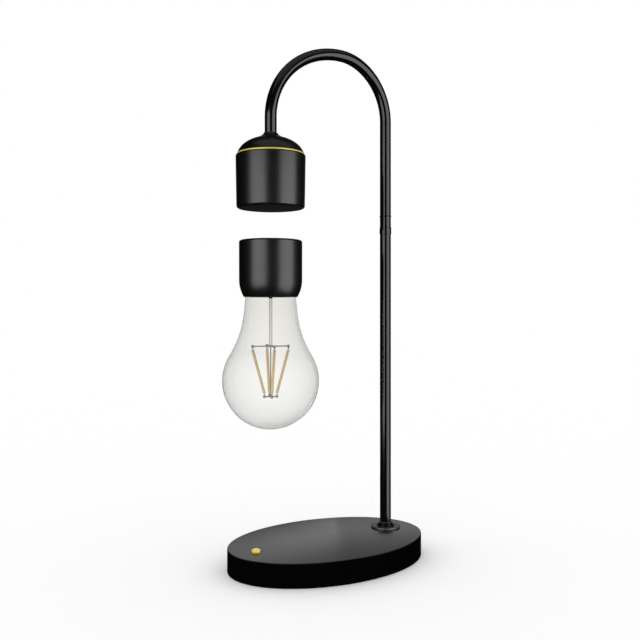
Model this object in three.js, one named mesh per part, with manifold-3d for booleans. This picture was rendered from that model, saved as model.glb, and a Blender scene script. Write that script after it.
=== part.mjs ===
// Levitating table lamp: an oval base, an upright tube with a swan neck, a magnet head, and a bulb that
// floats in the air under the head. Millimetres, +Z up. The origin is on the table under the middle of
// the base, and +X runs from the bulb towards the upright tube.
import * as THREE from 'three';
import { mergeVertices } from 'three/addons/utils/BufferGeometryUtils.js';
import Module from 'manifold-3d';

const wasm = await Module();
wasm.setup();

// Fits between pieces
const roundGap = 0.3;
const faceGap = 0.1;
const cutOverrun = 1;
const joinOverlap = 0.4;

// Base housing
const baseLength = 139;
const baseWidth = 95.7;
const baseWall = 2.4;
const baseRoof = 2.4;
const baseEdgeRadius = 0.5;
const baseRimLift = 0.2;
const plateSeatDepth = 1;
const bossRadius = 3.8;
const bossPlaceShares = [
  [0.55, 0.62],
  [0.55, -0.62],
  [-0.55, 0.62],
  [-0.55, -0.62],
];

// Base underside
const padThickness = 1.2;
const padMargin = 1.5;
const plateThickness = 3;
const screwHeadRadius = 2.9;
const screwHeadHeight = 1.7;
const screwRadius = 1.3;
const screwLength = 8;

// Main board
const sheetThickness = 0.8;
const sheetMargin = 1;
const boardEndGap = 6.1;
const boardSideGap = 6.45;
const boardThickness = 1.4;
const boardPartShares = [
  [0.42, 0.3, 0.1, 0.22, 0.75],
  [0.36, -0.3, 0.14, 0.16, 0.45],
  [0.05, 0.35, 0.14, 0.22, 0.8],
  [0.02, -0.2, 0.16, 0.25, 0.35],
  [-0.3, 0.25, 0.12, 0.18, 0.6],
  [-0.34, -0.32, 0.1, 0.15, 0.5],
];

// Power inlet
const jackLength = 10;
const jackWidth = 9;
const jackHeight = 7.4;
const jackHeadroom = 0.35;
const jackNoseRadius = 3.6;
const jackNoseRecess = 0.5;
const jackBoreRadius = 2.9;
const jackBoreDepth = 9;
const jackPinRadius = 1;
const jackPinRecess = 1.5;

// Button and switch
const buttonInset = 15.2;
const buttonRadius = 2.8;
const buttonSideHeight = 0.7;
const buttonDomeHeight = 1.5;
const buttonFlangeRadius = 4;
const buttonFlangeThickness = 0.9;
const buttonTravel = 0.8;
const switchWidth = 6;
const plungerRadius = 1.7;
const plungerLength = 2;

// Tubes and cable
const tubeJackGap = 0.47;
const tubeRadius = 3.75;
const tubeWall = 1;
const tubeThreadTail = 0.3;
const cableClearance = 0.35;

// Foot of the tube
const footFlangeRadius = 9.9;
const footFlangeThickness = 1;
const footFlangeChamfer = 0.5;
const footCollarRadius = 5.9;
const footCollarHeight = 1.3;
const footStepRadius = 5;
const footStepHeight = 1.1;
const tubeWasherRadius = 6.7;
const tubeWasherThickness = 0.8;
const tubeNutFlats = 11;
const tubeNutHeight = 3;

// Coupling between the two tubes
const couplingZ = 215;
const couplingHeight = 4.8;
const couplingProud = 0.25;
const couplingSpigotLength = 8;
const couplingWall = 0.5;
const beadRise = 7.5;
const beadHeight = 0.9;
const beadProud = 0.25;

// Swan neck, as two quarter ellipses that meet at its top
const archTopZ = 330.4;
const archTubeReach = 38.5;
const archTubeRise = 39;
const archHeadReach = 54.53;
const archHeadRise = 47.7;
const neckTailLength = 9.9;

// Head housing
const headShellHeight = 33;
const headTopRadius = 21.7;
const headTaper = 0.5;
const headWall = 1.8;
const headRimFlat = 0.1;
const headUpperEdge = 0.7;
const facePlateThickness = 2;
const ringStep = 0.75;
const ringHeight = 1;
const ringEdge = 0.25;
const domeStep = 1.05;
const domeRise = 12.97;
const domeSink = 2.32;
const domeWall = 2;
const domeSpigotWall = 1.6;
const domeSpigotLength = 4.5;
const domeLipWall = 0.35;
const domeHoleClearance = 0.15;
const flareStartRadius = 8.4;
const flareHeight = 3.14;
const flareBendShares = [0.17, 0.46];

// Inside the head
const powerCoilThickness = 1.6;
const powerCoilInner = 10;
const ferriteThickness = 1;
const ferriteHole = 6;
const sensorWidth = 4;
const sensorThickness = 1.5;
const bobbinMargin = 3.9;
const bobbinHeight = 16;
const bobbinFlange = 1.2;
const bobbinSleeve = 1;
const coreRadius = 6;
const biasMagnetRadius = 10;
const biasMagnetHeight = 4;
const headBoardMargin = 2.6;
const headBoardThickness = 1.4;
const headNutFlats = 12;
const headNutHeight = 3;

// Bulb cap
const hoverGap = 19.7;
const capHeight = 35.1;
const capNeckStep = 3.85;
const capWall = 2;
const capRoof = 1.8;
const capUpperEdge = 1.4;
const capTaperRadius = 21;
const capTaperSlack = 0.05;
const capLipWall = 0.62;
const capSkirtHeight = 3.4;
const neckClearance = 0.25;

// Inside the cap
const discMagnetRadius = 12.5;
const discMagnetHeight = 6;
const receiverCoilHeight = 3.2;
const receiverCoilMargin = 0.4;
const rectifierThickness = 1.4;
const leadRadius = 0.4;
const leadSpacing = 7;

// Glass bulb: a round end, a drawn-in shoulder and a neck
const bulbRadius = 29.95;
const glassLength = 81.9;
const shoulderAngle = 0.547;
const shoulderLowPull = 12.95;
const shoulderHighPull = 15.5;
const neckRadius = 15.75;
const neckLean = 0.052;
const neckInsertion = 8.5;
const glassWall = 0.8;

// Filament mount
const stemRadius = 1.1;
const stemFlareHeight = 7.5;
const stemFlareSeat = 2.4;
const stemFunnelShare = 0.5;
const topCrossRise = 21.35;
const topCrossReach = 11.3;
const bottomCrossDrop = 9.85;
const bottomCrossReach = 4;
const crossTurn = -0.363;
const crossArms = 4;
const wireRadius = 0.4;
const knobRadius = 0.95;
const hubRadius = 1.5;
const hubHeight = 1.2;
const lowerHubRadius = 0.9;
const pinLength = 1.9;
const filamentRadius = 0.9;

// Facets
const fullTurn = 2 * Math.PI;
const quarterTurn = Math.PI / 2;
const baseSides = 48;
const headSides = 28;
const bulbSides = 26;
const tubeSides = 16;
const boreSides = 8;
const hiddenSides = 16;
const cableSides = 8;
const smallSides = 8;
const wireSides = 5;
const hexSides = 6;
const edgeSteps = 3;
const curveSteps = 4;
const domeSteps = 7;
const taperSteps = 5;
const bulbRoundSteps = 11;
const bulbShoulderSteps = 7;
const tubeBendSteps = 12;
const headBendSteps = 15;
const mergeTolerance = 1e-4;

// Heights and radii that follow from the sizes above
const plateZ = padThickness + faceGap;
const plateTop = plateZ + plateThickness;
const sheetZ = plateTop + faceGap;
const boardZ = sheetZ + sheetThickness + faceGap;
const boardTop = boardZ + boardThickness;
const jackZ = plateTop + roundGap + jackHeight / 2;
const roofUnder = jackZ + jackHeight / 2 + jackHeadroom;
const baseHeight = roofUnder + baseRoof;
const plateHalfLength = baseLength / 2 - baseWall + plateSeatDepth - roundGap;
const plateHalfWidth = baseWidth / 2 - baseWall + plateSeatDepth - roundGap;
const boardLength = baseLength - 2 * (baseWall + boardEndGap);
const boardWidth = baseWidth - 2 * (baseWall + boardSideGap);
const bossSpots = bossPlaceShares.map(([alongShare, acrossShare]) => [
  (alongShare * baseLength) / 2,
  (acrossShare * baseWidth) / 2,
]);
const jackFront = ovalReach(baseLength / 2 - baseWall, baseWidth / 2 - baseWall, jackWidth / 2) - roundGap;
const jackRear = jackFront - jackLength;
const jackNoseEnd = baseLength / 2 - jackNoseRecess;
const buttonX = buttonInset - baseLength / 2;
const buttonFlangeTop = roofUnder - roundGap;
const buttonFlangeBottom = buttonFlangeTop - buttonFlangeThickness;
const plungerTop = buttonFlangeBottom - faceGap;
const switchTop = plungerTop - buttonTravel - faceGap;
const plungerBottom = plungerTop - plungerLength;
const tubeX = jackRear - tubeJackGap - tubeWasherRadius;
const tubeBore = tubeRadius - tubeWall;
const tubeHole = tubeRadius + roundGap;
const tubeWasherZ = roofUnder - faceGap - tubeWasherThickness;
const tubeNutZ = tubeWasherZ - faceGap - tubeNutHeight;
const lowerTubeEnd = tubeNutZ - tubeThreadTail;
const footFlangeZ = baseHeight + faceGap;
const footCollarZ = footFlangeZ + footFlangeThickness + faceGap;
const couplingTop = couplingZ + couplingHeight;
const couplingSpigotRadius = tubeBore - roundGap;
const couplingBore = couplingSpigotRadius - couplingWall;
const cableRadius = couplingBore - cableClearance;
const beadZ = couplingTop + beadRise;
const archTopX = tubeX - archTubeReach;
const headX = archTopX - archHeadReach;
const headBottomRadius = headTopRadius - headTaper;
const headBore = headBottomRadius - headWall;
const headLowerEdge = headWall - headRimFlat;
const spigotRadius = headBore - roundGap;
const ringRadius = headTopRadius - ringStep;
const domeBaseRadius = headTopRadius - domeStep;
const domeHalfWidth = domeBaseRadius / ovalReach(1, domeRise, domeSink);
const domeInnerHalfWidth = domeHalfWidth - domeWall;
const domeInnerRise = domeRise - domeWall;
const domeHole = tubeRadius + domeHoleClearance;
const domeLipZ = archTopZ - archHeadRise - neckTailLength;
const flareStartZ = domeLipZ - flareHeight;
const domeCentreZ = flareStartZ - ovalReach(domeRise, domeHalfWidth, flareStartRadius);
const domeBaseZ = domeCentreZ + domeSink;
const ringZ = domeBaseZ - faceGap - ringHeight;
const headShellTopZ = ringZ - faceGap;
const headBottomZ = headShellTopZ - headShellHeight;
const facePlateTop = headBottomZ + facePlateThickness;
const headNutReach = headNutFlats / Math.sqrt(3);
const headNutTop = domeCentreZ + ovalReach(domeInnerRise, domeInnerHalfWidth, headNutReach) - faceGap;
const headNutZ = headNutTop - headNutHeight;
const gooseneckEnd = headNutZ - tubeThreadTail;
const powerCoilZ = facePlateTop + faceGap;
const ferriteZ = powerCoilZ + powerCoilThickness + faceGap;
const bobbinZ = ferriteZ + ferriteThickness + faceGap;
const bobbinRadius = headBore - bobbinMargin;
const biasMagnetZ = bobbinZ + bobbinHeight + faceGap;
const headBoardZ = biasMagnetZ + biasMagnetHeight + faceGap;
const headBoardTop = headBoardZ + headBoardThickness;
const headBoardRadius = headBore - headBoardMargin;
const capRadius = neckRadius + capNeckStep;
const capBore = capRadius - capWall;
const capLipRadius = neckRadius + neckClearance + capLipWall;
const capTaperDrop = capRadius - capTaperSlack - capLipRadius;
const capTaperHeight = legOf(capTaperRadius, capTaperRadius - capTaperDrop);
const capTop = headBottomZ - hoverGap;
const capBottom = capTop - capHeight;
const capInnerTop = capTop - capRoof;
const discMagnetTop = capInnerTop - roundGap;
const discMagnetBottom = discMagnetTop - discMagnetHeight;
const rectifierTop = discMagnetBottom - roundGap;
const rectifierBottom = rectifierTop - rectifierThickness;
const bulbBottomZ = capBottom - glassLength;
const bulbCentreZ = bulbBottomZ + bulbRadius;
const neckTop = capBottom + neckInsertion;
const topCrossZ = bulbCentreZ + topCrossRise;
const bottomCrossZ = bulbCentreZ - bottomCrossDrop;
const stemBottom = topCrossZ + hubHeight / 2 + faceGap;

function legOf(longSide, otherLeg) {
  return Math.sqrt(longSide * longSide - otherLeg * otherLeg);
}

function ovalReach(halfLength, halfWidth, across) {
  const share = across / halfWidth;
  return halfLength * Math.sqrt(1 - share * share);
}

// Outlines and plain solids
function ovalShape(halfLength, halfWidth, sides) {
  const points = [];
  for (let side = 0; side < sides; side += 1) {
    const angle = (fullTurn * side) / sides;
    points.push(new THREE.Vector2(halfLength * Math.cos(angle), halfWidth * Math.sin(angle)));
  }
  return new THREE.Shape(points);
}

function slab(shape, bottom, top) {
  const geometry = new THREE.ExtrudeGeometry(shape, { depth: top - bottom, bevelEnabled: false });
  return geometry.translate(0, 0, bottom);
}

function roundedSlab(shape, bottom, top, edge) {
  const geometry = new THREE.ExtrudeGeometry(shape, {
    depth: top - bottom - 2 * edge,
    bevelThickness: edge,
    bevelSize: edge,
    bevelOffset: -edge,
    bevelSegments: edgeSteps,
  });
  return geometry.translate(0, 0, bottom + edge);
}

function disc(radius, bottom, top, sides) {
  return slab(ovalShape(radius, radius, sides), bottom, top);
}

function block(length, width, bottom, top) {
  const geometry = new THREE.BoxGeometry(length, width, top - bottom);
  return geometry.translate(0, 0, (bottom + top) / 2);
}

// A profile of [radius, height] points, turned about the Z axis
function turned(profile, sides) {
  const points = profile.map(([radius, height]) => new THREE.Vector2(radius, height));
  return new THREE.LatheGeometry(points, sides).rotateX(quarterTurn);
}

function turnedRing(inner, outer, bottom, top, sides) {
  return turned([[inner, bottom], [outer, bottom], [outer, top], [inner, top], [inner, bottom]], sides);
}

function arcProfile(centreRadius, centreZ, radius, startAngle, endAngle, steps) {
  const points = [];
  for (let step = 0; step <= steps; step += 1) {
    const angle = startAngle + ((endAngle - startAngle) * step) / steps;
    points.push([centreRadius + radius * Math.cos(angle), centreZ + radius * Math.sin(angle)]);
  }
  return points;
}

function rod(radius, start, end, sides) {
  const span = new THREE.Vector3().subVectors(end, start);
  const geometry = new THREE.CylinderGeometry(radius, radius, span.length(), sides);
  const upright = new THREE.Vector3(0, 1, 0);
  const turn = new THREE.Quaternion().setFromUnitVectors(upright, span.clone().normalize());
  const middle = new THREE.Vector3().addVectors(start, end).multiplyScalar(0.5);
  return geometry.applyQuaternion(turn).translate(middle.x, middle.y, middle.z);
}

// Cutting and joining
function toSolid(geometry) {
  const bare = new THREE.BufferGeometry();
  bare.setAttribute('position', geometry.getAttribute('position'));
  bare.setIndex(geometry.getIndex());
  const merged = mergeVertices(bare, mergeTolerance);
  const index = merged.getIndex().array;
  const corners = [];
  for (let i = 0; i < index.length; i += 3) {
    const [a, b, c] = [index[i], index[i + 1], index[i + 2]];
    if (a !== b && b !== c && c !== a) {
      corners.push(a, b, c);
    }
  }
  return new wasm.Manifold(new wasm.Mesh({
    numProp: 3,
    vertProperties: merged.getAttribute('position').array,
    triVerts: Uint32Array.from(corners),
  }));
}

function toGeometry(solid) {
  const mesh = solid.getMesh();
  const geometry = new THREE.BufferGeometry();
  geometry.setAttribute('position', new THREE.BufferAttribute(mesh.vertProperties, 3));
  geometry.setIndex(new THREE.BufferAttribute(mesh.triVerts, 1));
  geometry.computeVertexNormals();
  return geometry;
}

function cut(body, tools) {
  return toGeometry(tools.reduce((solid, tool) => solid.subtract(toSolid(tool)), toSolid(body)));
}

function join(bodies) {
  return toGeometry(bodies.map(toSolid).reduce((solid, body) => solid.add(body)));
}

// Base
function baseShell() {
  const halfLength = baseLength / 2;
  const halfWidth = baseWidth / 2;
  const outerShape = ovalShape(halfLength, halfWidth, baseSides);
  const outer = roundedSlab(outerShape, baseRimLift, baseHeight, baseEdgeRadius);
  const cavityShape = ovalShape(halfLength - baseWall, halfWidth - baseWall, baseSides);
  const cavity = slab(cavityShape, baseRimLift - cutOverrun, roofUnder);
  const seatShape = ovalShape(plateHalfLength + roundGap, plateHalfWidth + roundGap, baseSides);
  const plateSeat = slab(seatShape, baseRimLift - cutOverrun, plateTop + faceGap);
  const bossTop = roofUnder + joinOverlap;
  const bosses = bossSpots.map(([x, y]) => {
    return disc(bossRadius, plateTop + faceGap, bossTop, smallSides).translate(x, y, 0);
  });
  const screwTop = plateZ + screwLength + roundGap;
  const pilots = bossSpots.map(([x, y]) => {
    return disc(screwRadius + roundGap, plateTop - cutOverrun, screwTop, smallSides).translate(x, y, 0);
  });
  const roofTop = baseHeight + cutOverrun;
  const roofBottom = roofUnder - cutOverrun;
  const tubeOpening = disc(tubeHole, roofBottom, roofTop, tubeSides).translate(tubeX, 0, 0);
  const buttonHole = buttonRadius + roundGap;
  const buttonOpening = disc(buttonHole, roofBottom, roofTop, tubeSides).translate(buttonX, 0, 0);
  const jackOpening = alongX(jackNoseRadius + roundGap, jackFront - cutOverrun, jackNoseEnd + cutOverrun);
  const hollow = cut(outer, [cavity, plateSeat]);
  return cut(join([hollow, ...bosses]), [...pilots, tubeOpening, buttonOpening, jackOpening]);
}

// A round solid along X at the height of the power inlet
function alongX(radius, start, end) {
  return rod(radius, new THREE.Vector3(start, 0, jackZ), new THREE.Vector3(end, 0, jackZ), tubeSides);
}

function screwProfile(margin, bottom, length) {
  return [
    [0, bottom],
    [screwHeadRadius + margin, bottom],
    [screwHeadRadius + margin, plateZ],
    [screwRadius + margin, plateZ + screwHeadHeight],
    [screwRadius + margin, plateZ + length],
    [0, plateZ + length],
  ];
}

function bottomPlate() {
  const plate = slab(ovalShape(plateHalfLength, plateHalfWidth, baseSides), plateZ, plateTop);
  const profile = screwProfile(roundGap, plateZ - cutOverrun, plateThickness + cutOverrun);
  const holes = bossSpots.map(([x, y]) => turned(profile, smallSides).translate(x, y, 0));
  return cut(plate, holes);
}

function plateScrew([x, y]) {
  return turned(screwProfile(0, plateZ, screwLength), smallSides).translate(x, y, 0);
}

function nonSlipPad() {
  const outline = ovalShape(plateHalfLength - padMargin, plateHalfWidth - padMargin, baseSides);
  return slab(outline, 0, padThickness);
}

// Holes that the board and its sheet leave for the screw bosses and the power inlet
function boardOpenings() {
  const low = sheetZ - cutOverrun;
  const high = boardTop + cutOverrun;
  const openings = bossSpots.map(([x, y]) => {
    return disc(bossRadius + roundGap, low, high, smallSides).translate(x, y, 0);
  });
  const notchLength = baseLength / 2 - jackRear + roundGap;
  const notch = block(notchLength, jackWidth + 2 * roundGap, low, high);
  openings.push(notch.translate(jackRear - roundGap + notchLength / 2, 0, 0));
  return openings;
}

function insulatingSheet() {
  const shape = ovalShape(boardLength / 2 + sheetMargin, boardWidth / 2 + sheetMargin, baseSides);
  return cut(slab(shape, sheetZ, sheetZ + sheetThickness), boardOpenings());
}

function mainBoard() {
  const board = slab(ovalShape(boardLength / 2, boardWidth / 2, baseSides), boardZ, boardTop);
  const headroom = roofUnder - boardTop;
  const parts = boardPartShares.map(([alongShare, acrossShare, lengthShare, widthShare, heightShare]) => {
    const part = block(
      lengthShare * boardWidth,
      widthShare * boardWidth,
      boardTop - boardThickness / 2,
      boardTop + heightShare * headroom,
    );
    return part.translate((alongShare * boardLength) / 2, (acrossShare * boardWidth) / 2, 0);
  });
  return join([cut(board, boardOpenings()), ...parts]);
}

function dcJack() {
  const housing = block(jackLength, jackWidth, jackZ - jackHeight / 2, jackZ + jackHeight / 2);
  housing.translate(jackRear + jackLength / 2, 0, 0);
  const nose = alongX(jackNoseRadius, jackFront - joinOverlap, jackNoseEnd);
  const bore = alongX(jackBoreRadius, jackNoseEnd - jackBoreDepth, jackNoseEnd + cutOverrun);
  return cut(join([housing, nose]), [bore]);
}

function jackPin() {
  return alongX(jackPinRadius, jackNoseEnd - jackBoreDepth + faceGap, jackNoseEnd - jackPinRecess);
}

// A low dome whose foot has the given radius and height
function domeProfile(radius, footZ, rise, steps) {
  const points = [];
  for (let step = 0; step <= steps; step += 1) {
    const angle = (quarterTurn * step) / steps;
    points.push([step === steps ? 0 : radius * Math.cos(angle), footZ + rise * Math.sin(angle)]);
  }
  return points;
}

function powerButton() {
  return turned([
    [0, buttonFlangeBottom],
    [buttonFlangeRadius, buttonFlangeBottom],
    [buttonFlangeRadius, buttonFlangeTop],
    [buttonRadius, buttonFlangeTop],
    ...domeProfile(buttonRadius, baseHeight + buttonSideHeight, buttonDomeHeight, curveSteps),
  ], tubeSides);
}

function switchBody() {
  const housing = block(switchWidth, switchWidth, boardTop + faceGap, switchTop);
  const wellBottom = plungerBottom - buttonTravel - roundGap;
  const well = disc(plungerRadius + roundGap, wellBottom, switchTop + cutOverrun, smallSides);
  return cut(housing, [well]);
}

function switchPlunger() {
  return disc(plungerRadius, plungerBottom, plungerTop, smallSides);
}

// Foot of the tube, outside and inside the base
function footFlange() {
  const top = footFlangeZ + footFlangeThickness;
  return turned([
    [tubeHole, footFlangeZ],
    [footFlangeRadius, footFlangeZ],
    [footFlangeRadius, top - footFlangeChamfer],
    [footFlangeRadius - footFlangeChamfer, top],
    [tubeHole, top],
    [tubeHole, footFlangeZ],
  ], headSides);
}

function footCollar() {
  const stepZ = footCollarZ + footCollarHeight;
  return turned([
    [tubeHole, footCollarZ],
    [footCollarRadius, footCollarZ],
    [footCollarRadius, stepZ],
    [footStepRadius, stepZ],
    [footStepRadius, stepZ + footStepHeight],
    [tubeHole, stepZ + footStepHeight],
    [tubeHole, footCollarZ],
  ], tubeSides);
}

function tubeWasher() {
  return turnedRing(tubeHole, tubeWasherRadius, tubeWasherZ, tubeWasherZ + tubeWasherThickness, tubeSides);
}

function hexNut(flats, hole, bottom, top) {
  const corner = flats / Math.sqrt(3);
  const bore = disc(hole, bottom - cutOverrun, top + cutOverrun, tubeSides);
  return cut(disc(corner, bottom, top, hexSides), [bore]);
}

// Tubes
function lowerTube() {
  return turnedRing(tubeBore, tubeRadius, lowerTubeEnd, couplingZ - faceGap, tubeSides);
}

function tubeCoupling() {
  const band = tubeRadius + couplingProud;
  return turned([
    [couplingBore, couplingZ - couplingSpigotLength],
    [couplingSpigotRadius, couplingZ - couplingSpigotLength],
    [couplingSpigotRadius, couplingZ],
    [band, couplingZ],
    [band, couplingTop],
    [couplingSpigotRadius, couplingTop],
    [couplingSpigotRadius, couplingTop + couplingSpigotLength],
    [couplingBore, couplingTop + couplingSpigotLength],
    [couplingBore, couplingZ - couplingSpigotLength],
  ], tubeSides);
}

// The line that the swan neck follows: up the tube's axis, over two quarter ellipses, down the head's axis.
// The place along it runs in whole steps, so each straight end takes one step and each bend its own count.
class SwanNeckCurve extends THREE.Curve {
  constructor(startZ, endZ) {
    super();
    this.startZ = startZ;
    this.endZ = endZ;
    this.steps = tubeBendSteps + headBendSteps + 2;
  }

  getPoint(place, target = new THREE.Vector3()) {
    const step = place * this.steps;
    const tubeBendTop = 1 + tubeBendSteps;
    const headBendEnd = tubeBendTop + headBendSteps;
    const tubeBendZ = archTopZ - archTubeRise;
    const headBendZ = archTopZ - archHeadRise;
    if (step <= 1) {
      return target.set(tubeX, 0, this.startZ + step * (tubeBendZ - this.startZ));
    }
    if (step <= tubeBendTop) {
      const angle = (quarterTurn * (step - 1)) / tubeBendSteps;
      const x = archTopX + archTubeReach * Math.cos(angle);
      return target.set(x, 0, tubeBendZ + archTubeRise * Math.sin(angle));
    }
    if (step <= headBendEnd) {
      const angle = (quarterTurn * (step - tubeBendTop)) / headBendSteps;
      const x = archTopX - archHeadReach * Math.sin(angle);
      return target.set(x, 0, headBendZ + archHeadRise * Math.cos(angle));
    }
    return target.set(headX, 0, headBendZ + (step - headBendEnd) * (this.endZ - headBendZ));
  }

  getUtoTmapping(place) {
    return place;
  }
}

function sweep(curve, radius, sides, bore) {
  const section = ovalShape(radius, radius, sides);
  if (bore > 0) {
    section.holes.push(ovalShape(bore, bore, boreSides));
  }
  return new THREE.ExtrudeGeometry(section, { steps: curve.steps, extrudePath: curve });
}

function gooseneck() {
  const curve = new SwanNeckCurve(couplingTop + faceGap, gooseneckEnd);
  const tube = sweep(curve, tubeRadius, tubeSides, tubeBore);
  const beadInner = tubeRadius - tubeWall / 2;
  const bead = turned([
    [beadInner, beadZ - beadHeight / 2],
    [tubeRadius + beadProud / 2, beadZ - beadHeight / 2],
    [tubeRadius + beadProud, beadZ],
    [tubeRadius + beadProud / 2, beadZ + beadHeight / 2],
    [beadInner, beadZ + beadHeight / 2],
    [beadInner, beadZ - beadHeight / 2],
  ], tubeSides).translate(tubeX, 0, 0);
  return join([tube, bead]);
}

function innerCable() {
  return sweep(new SwanNeckCurve(boardTop + faceGap, headBoardTop + faceGap), cableRadius, cableSides, 0);
}

// Head housing
function domeArc(halfWidth, rise, fromRadius, toRadius, steps) {
  const start = Math.acos(fromRadius / halfWidth);
  const end = Math.acos(toRadius / halfWidth);
  const points = [];
  for (let step = 0; step <= steps; step += 1) {
    const angle = start + ((end - start) * step) / steps;
    points.push([halfWidth * Math.cos(angle), domeCentreZ + rise * Math.sin(angle)]);
  }
  return points;
}

function headDome() {
  const lipRadius = domeHole + domeLipWall;
  const [inShare, upShare] = flareBendShares;
  const flare = new THREE.QuadraticBezierCurve(
    new THREE.Vector2(flareStartRadius, flareStartZ),
    new THREE.Vector2(
      lipRadius + inShare * (flareStartRadius - lipRadius),
      flareStartZ + upShare * flareHeight,
    ),
    new THREE.Vector2(lipRadius, domeLipZ),
  );
  const spigotInner = spigotRadius - domeSpigotWall;
  return turned([
    [spigotInner, domeBaseZ - domeSpigotLength],
    [spigotRadius, domeBaseZ - domeSpigotLength],
    [spigotRadius, domeBaseZ],
    ...domeArc(domeHalfWidth, domeRise, domeBaseRadius, flareStartRadius, domeSteps),
    ...flare.getPoints(curveSteps).slice(1).map((point) => [point.x, point.y]),
    [domeHole, domeLipZ],
    ...domeArc(domeInnerHalfWidth, domeInnerRise, domeHole, spigotInner, curveSteps),
    [spigotInner, domeBaseZ - domeSpigotLength],
  ], headSides);
}

function goldRing() {
  const inner = spigotRadius + roundGap;
  const top = ringZ + ringHeight;
  return turned([
    [inner, ringZ],
    [ringRadius - ringEdge, ringZ],
    [ringRadius, ringZ + ringEdge],
    [ringRadius, top - ringEdge],
    [ringRadius - ringEdge, top],
    [inner, top],
    [inner, ringZ],
  ], headSides);
}

function headShell() {
  const lowEdgeRadius = headBottomRadius - headLowerEdge;
  const lowEdgeZ = headBottomZ + headLowerEdge;
  const highEdgeRadius = headTopRadius - headUpperEdge;
  const highEdgeZ = headShellTopZ - headUpperEdge;
  return turned([
    [headBore, headBottomZ],
    ...arcProfile(lowEdgeRadius, lowEdgeZ, headLowerEdge, -quarterTurn, 0, curveSteps),
    ...arcProfile(highEdgeRadius, highEdgeZ, headUpperEdge, 0, quarterTurn, edgeSteps),
    [headBore, headShellTopZ],
    [headBore, headBottomZ],
  ], headSides);
}

// Inside the head, from the face plate up
function coilBobbin() {
  const top = bobbinZ + bobbinHeight;
  const inner = coreRadius + roundGap;
  const sleeve = inner + bobbinSleeve;
  return turned([
    [inner, bobbinZ],
    [bobbinRadius, bobbinZ],
    [bobbinRadius, bobbinZ + bobbinFlange],
    [sleeve, bobbinZ + bobbinFlange],
    [sleeve, top - bobbinFlange],
    [bobbinRadius, top - bobbinFlange],
    [bobbinRadius, top],
    [inner, top],
    [inner, bobbinZ],
  ], hiddenSides);
}

function controlCoil() {
  const inner = coreRadius + bobbinSleeve + 2 * roundGap;
  const bottom = bobbinZ + bobbinFlange + faceGap;
  const top = bobbinZ + bobbinHeight - bobbinFlange - faceGap;
  return turnedRing(inner, bobbinRadius - roundGap, bottom, top, hiddenSides);
}

// Bulb
function bulbCap() {
  const hole = neckRadius + neckClearance;
  const taperZ = capBottom + capTaperHeight;
  const taperCentre = capRadius - capTaperSlack - capTaperRadius;
  const taperAngle = -Math.asin(capTaperHeight / capTaperRadius);
  return turned([
    [0, capInnerTop],
    [capBore, capInnerTop],
    [capBore, taperZ],
    [hole, capBottom + capSkirtHeight],
    [hole, capBottom],
    ...arcProfile(taperCentre, taperZ, capTaperRadius, taperAngle, 0, taperSteps),
    ...arcProfile(capRadius - capUpperEdge, capTop - capUpperEdge, capUpperEdge, 0, quarterTurn, edgeSteps),
    [0, capTop],
  ], headSides);
}

function receiverCoil() {
  const inner = discMagnetRadius + receiverCoilMargin;
  const bottom = discMagnetTop - receiverCoilHeight;
  return turnedRing(inner, capBore - roundGap, bottom, discMagnetTop, hiddenSides);
}

// The bulb's outer outline from its lowest point to the top of its neck
function bulbOutline() {
  const shoulder = [
    bulbRadius * Math.cos(shoulderAngle),
    bulbCentreZ + bulbRadius * Math.sin(shoulderAngle),
  ];
  const bend = new THREE.CubicBezierCurve(
    new THREE.Vector2(...shoulder),
    new THREE.Vector2(
      shoulder[0] - shoulderLowPull * Math.sin(shoulderAngle),
      shoulder[1] + shoulderLowPull * Math.cos(shoulderAngle),
    ),
    new THREE.Vector2(
      neckRadius + shoulderHighPull * Math.sin(neckLean),
      capBottom - shoulderHighPull * Math.cos(neckLean),
    ),
    new THREE.Vector2(neckRadius, capBottom),
  );
  const round = arcProfile(0, bulbCentreZ, bulbRadius, -quarterTurn, shoulderAngle, bulbRoundSteps);
  round[0] = [0, bulbBottomZ];
  return [
    ...round,
    ...bend.getPoints(bulbShoulderSteps).slice(1).map((point) => [point.x, point.y]),
    [neckRadius - neckInsertion * Math.tan(neckLean), neckTop],
  ];
}

// The same outline moved inwards by a wall
function insetOutline(outline, wall) {
  const last = outline.length - 1;
  return outline.map(([radius, height], spot) => {
    if (spot === 0) {
      return [0, height + wall];
    }
    if (spot === last) {
      return [radius - wall, height];
    }
    const [beforeRadius, beforeZ] = outline[spot - 1];
    const [afterRadius, afterZ] = outline[spot + 1];
    const along = new THREE.Vector2(afterRadius - beforeRadius, afterZ - beforeZ).normalize();
    return [radius - wall * along.y, height + wall * along.x];
  });
}

function glassEnvelope() {
  const outline = bulbOutline();
  return turned([...outline, ...insetOutline(outline, glassWall).reverse()], bulbSides);
}

function glassStem() {
  const flareTop = neckTop - stemFlareSeat;
  const flareBottom = flareTop - stemFlareHeight;
  const neckSlope = Math.tan(neckLean);
  const rim = neckRadius - (flareTop - capBottom) * neckSlope - glassWall - roundGap;
  const flare = new THREE.QuadraticBezierCurve(
    new THREE.Vector2(stemRadius, flareBottom),
    new THREE.Vector2(stemRadius, flareTop),
    new THREE.Vector2(rim, flareTop),
  );
  const funnelBottom = flareBottom + stemFunnelShare * stemFlareHeight;
  const funnel = new THREE.QuadraticBezierCurve(
    new THREE.Vector2(rim, flareTop + glassWall),
    new THREE.Vector2(0, flareTop + glassWall),
    new THREE.Vector2(0, funnelBottom),
  );
  return turned([
    [0, stemBottom],
    [stemRadius, stemBottom],
    ...flare.getPoints(taperSteps).map((point) => [point.x, point.y]),
    ...funnel.getPoints(taperSteps).map((point) => [point.x, point.y]),
  ], tubeSides);
}

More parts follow.
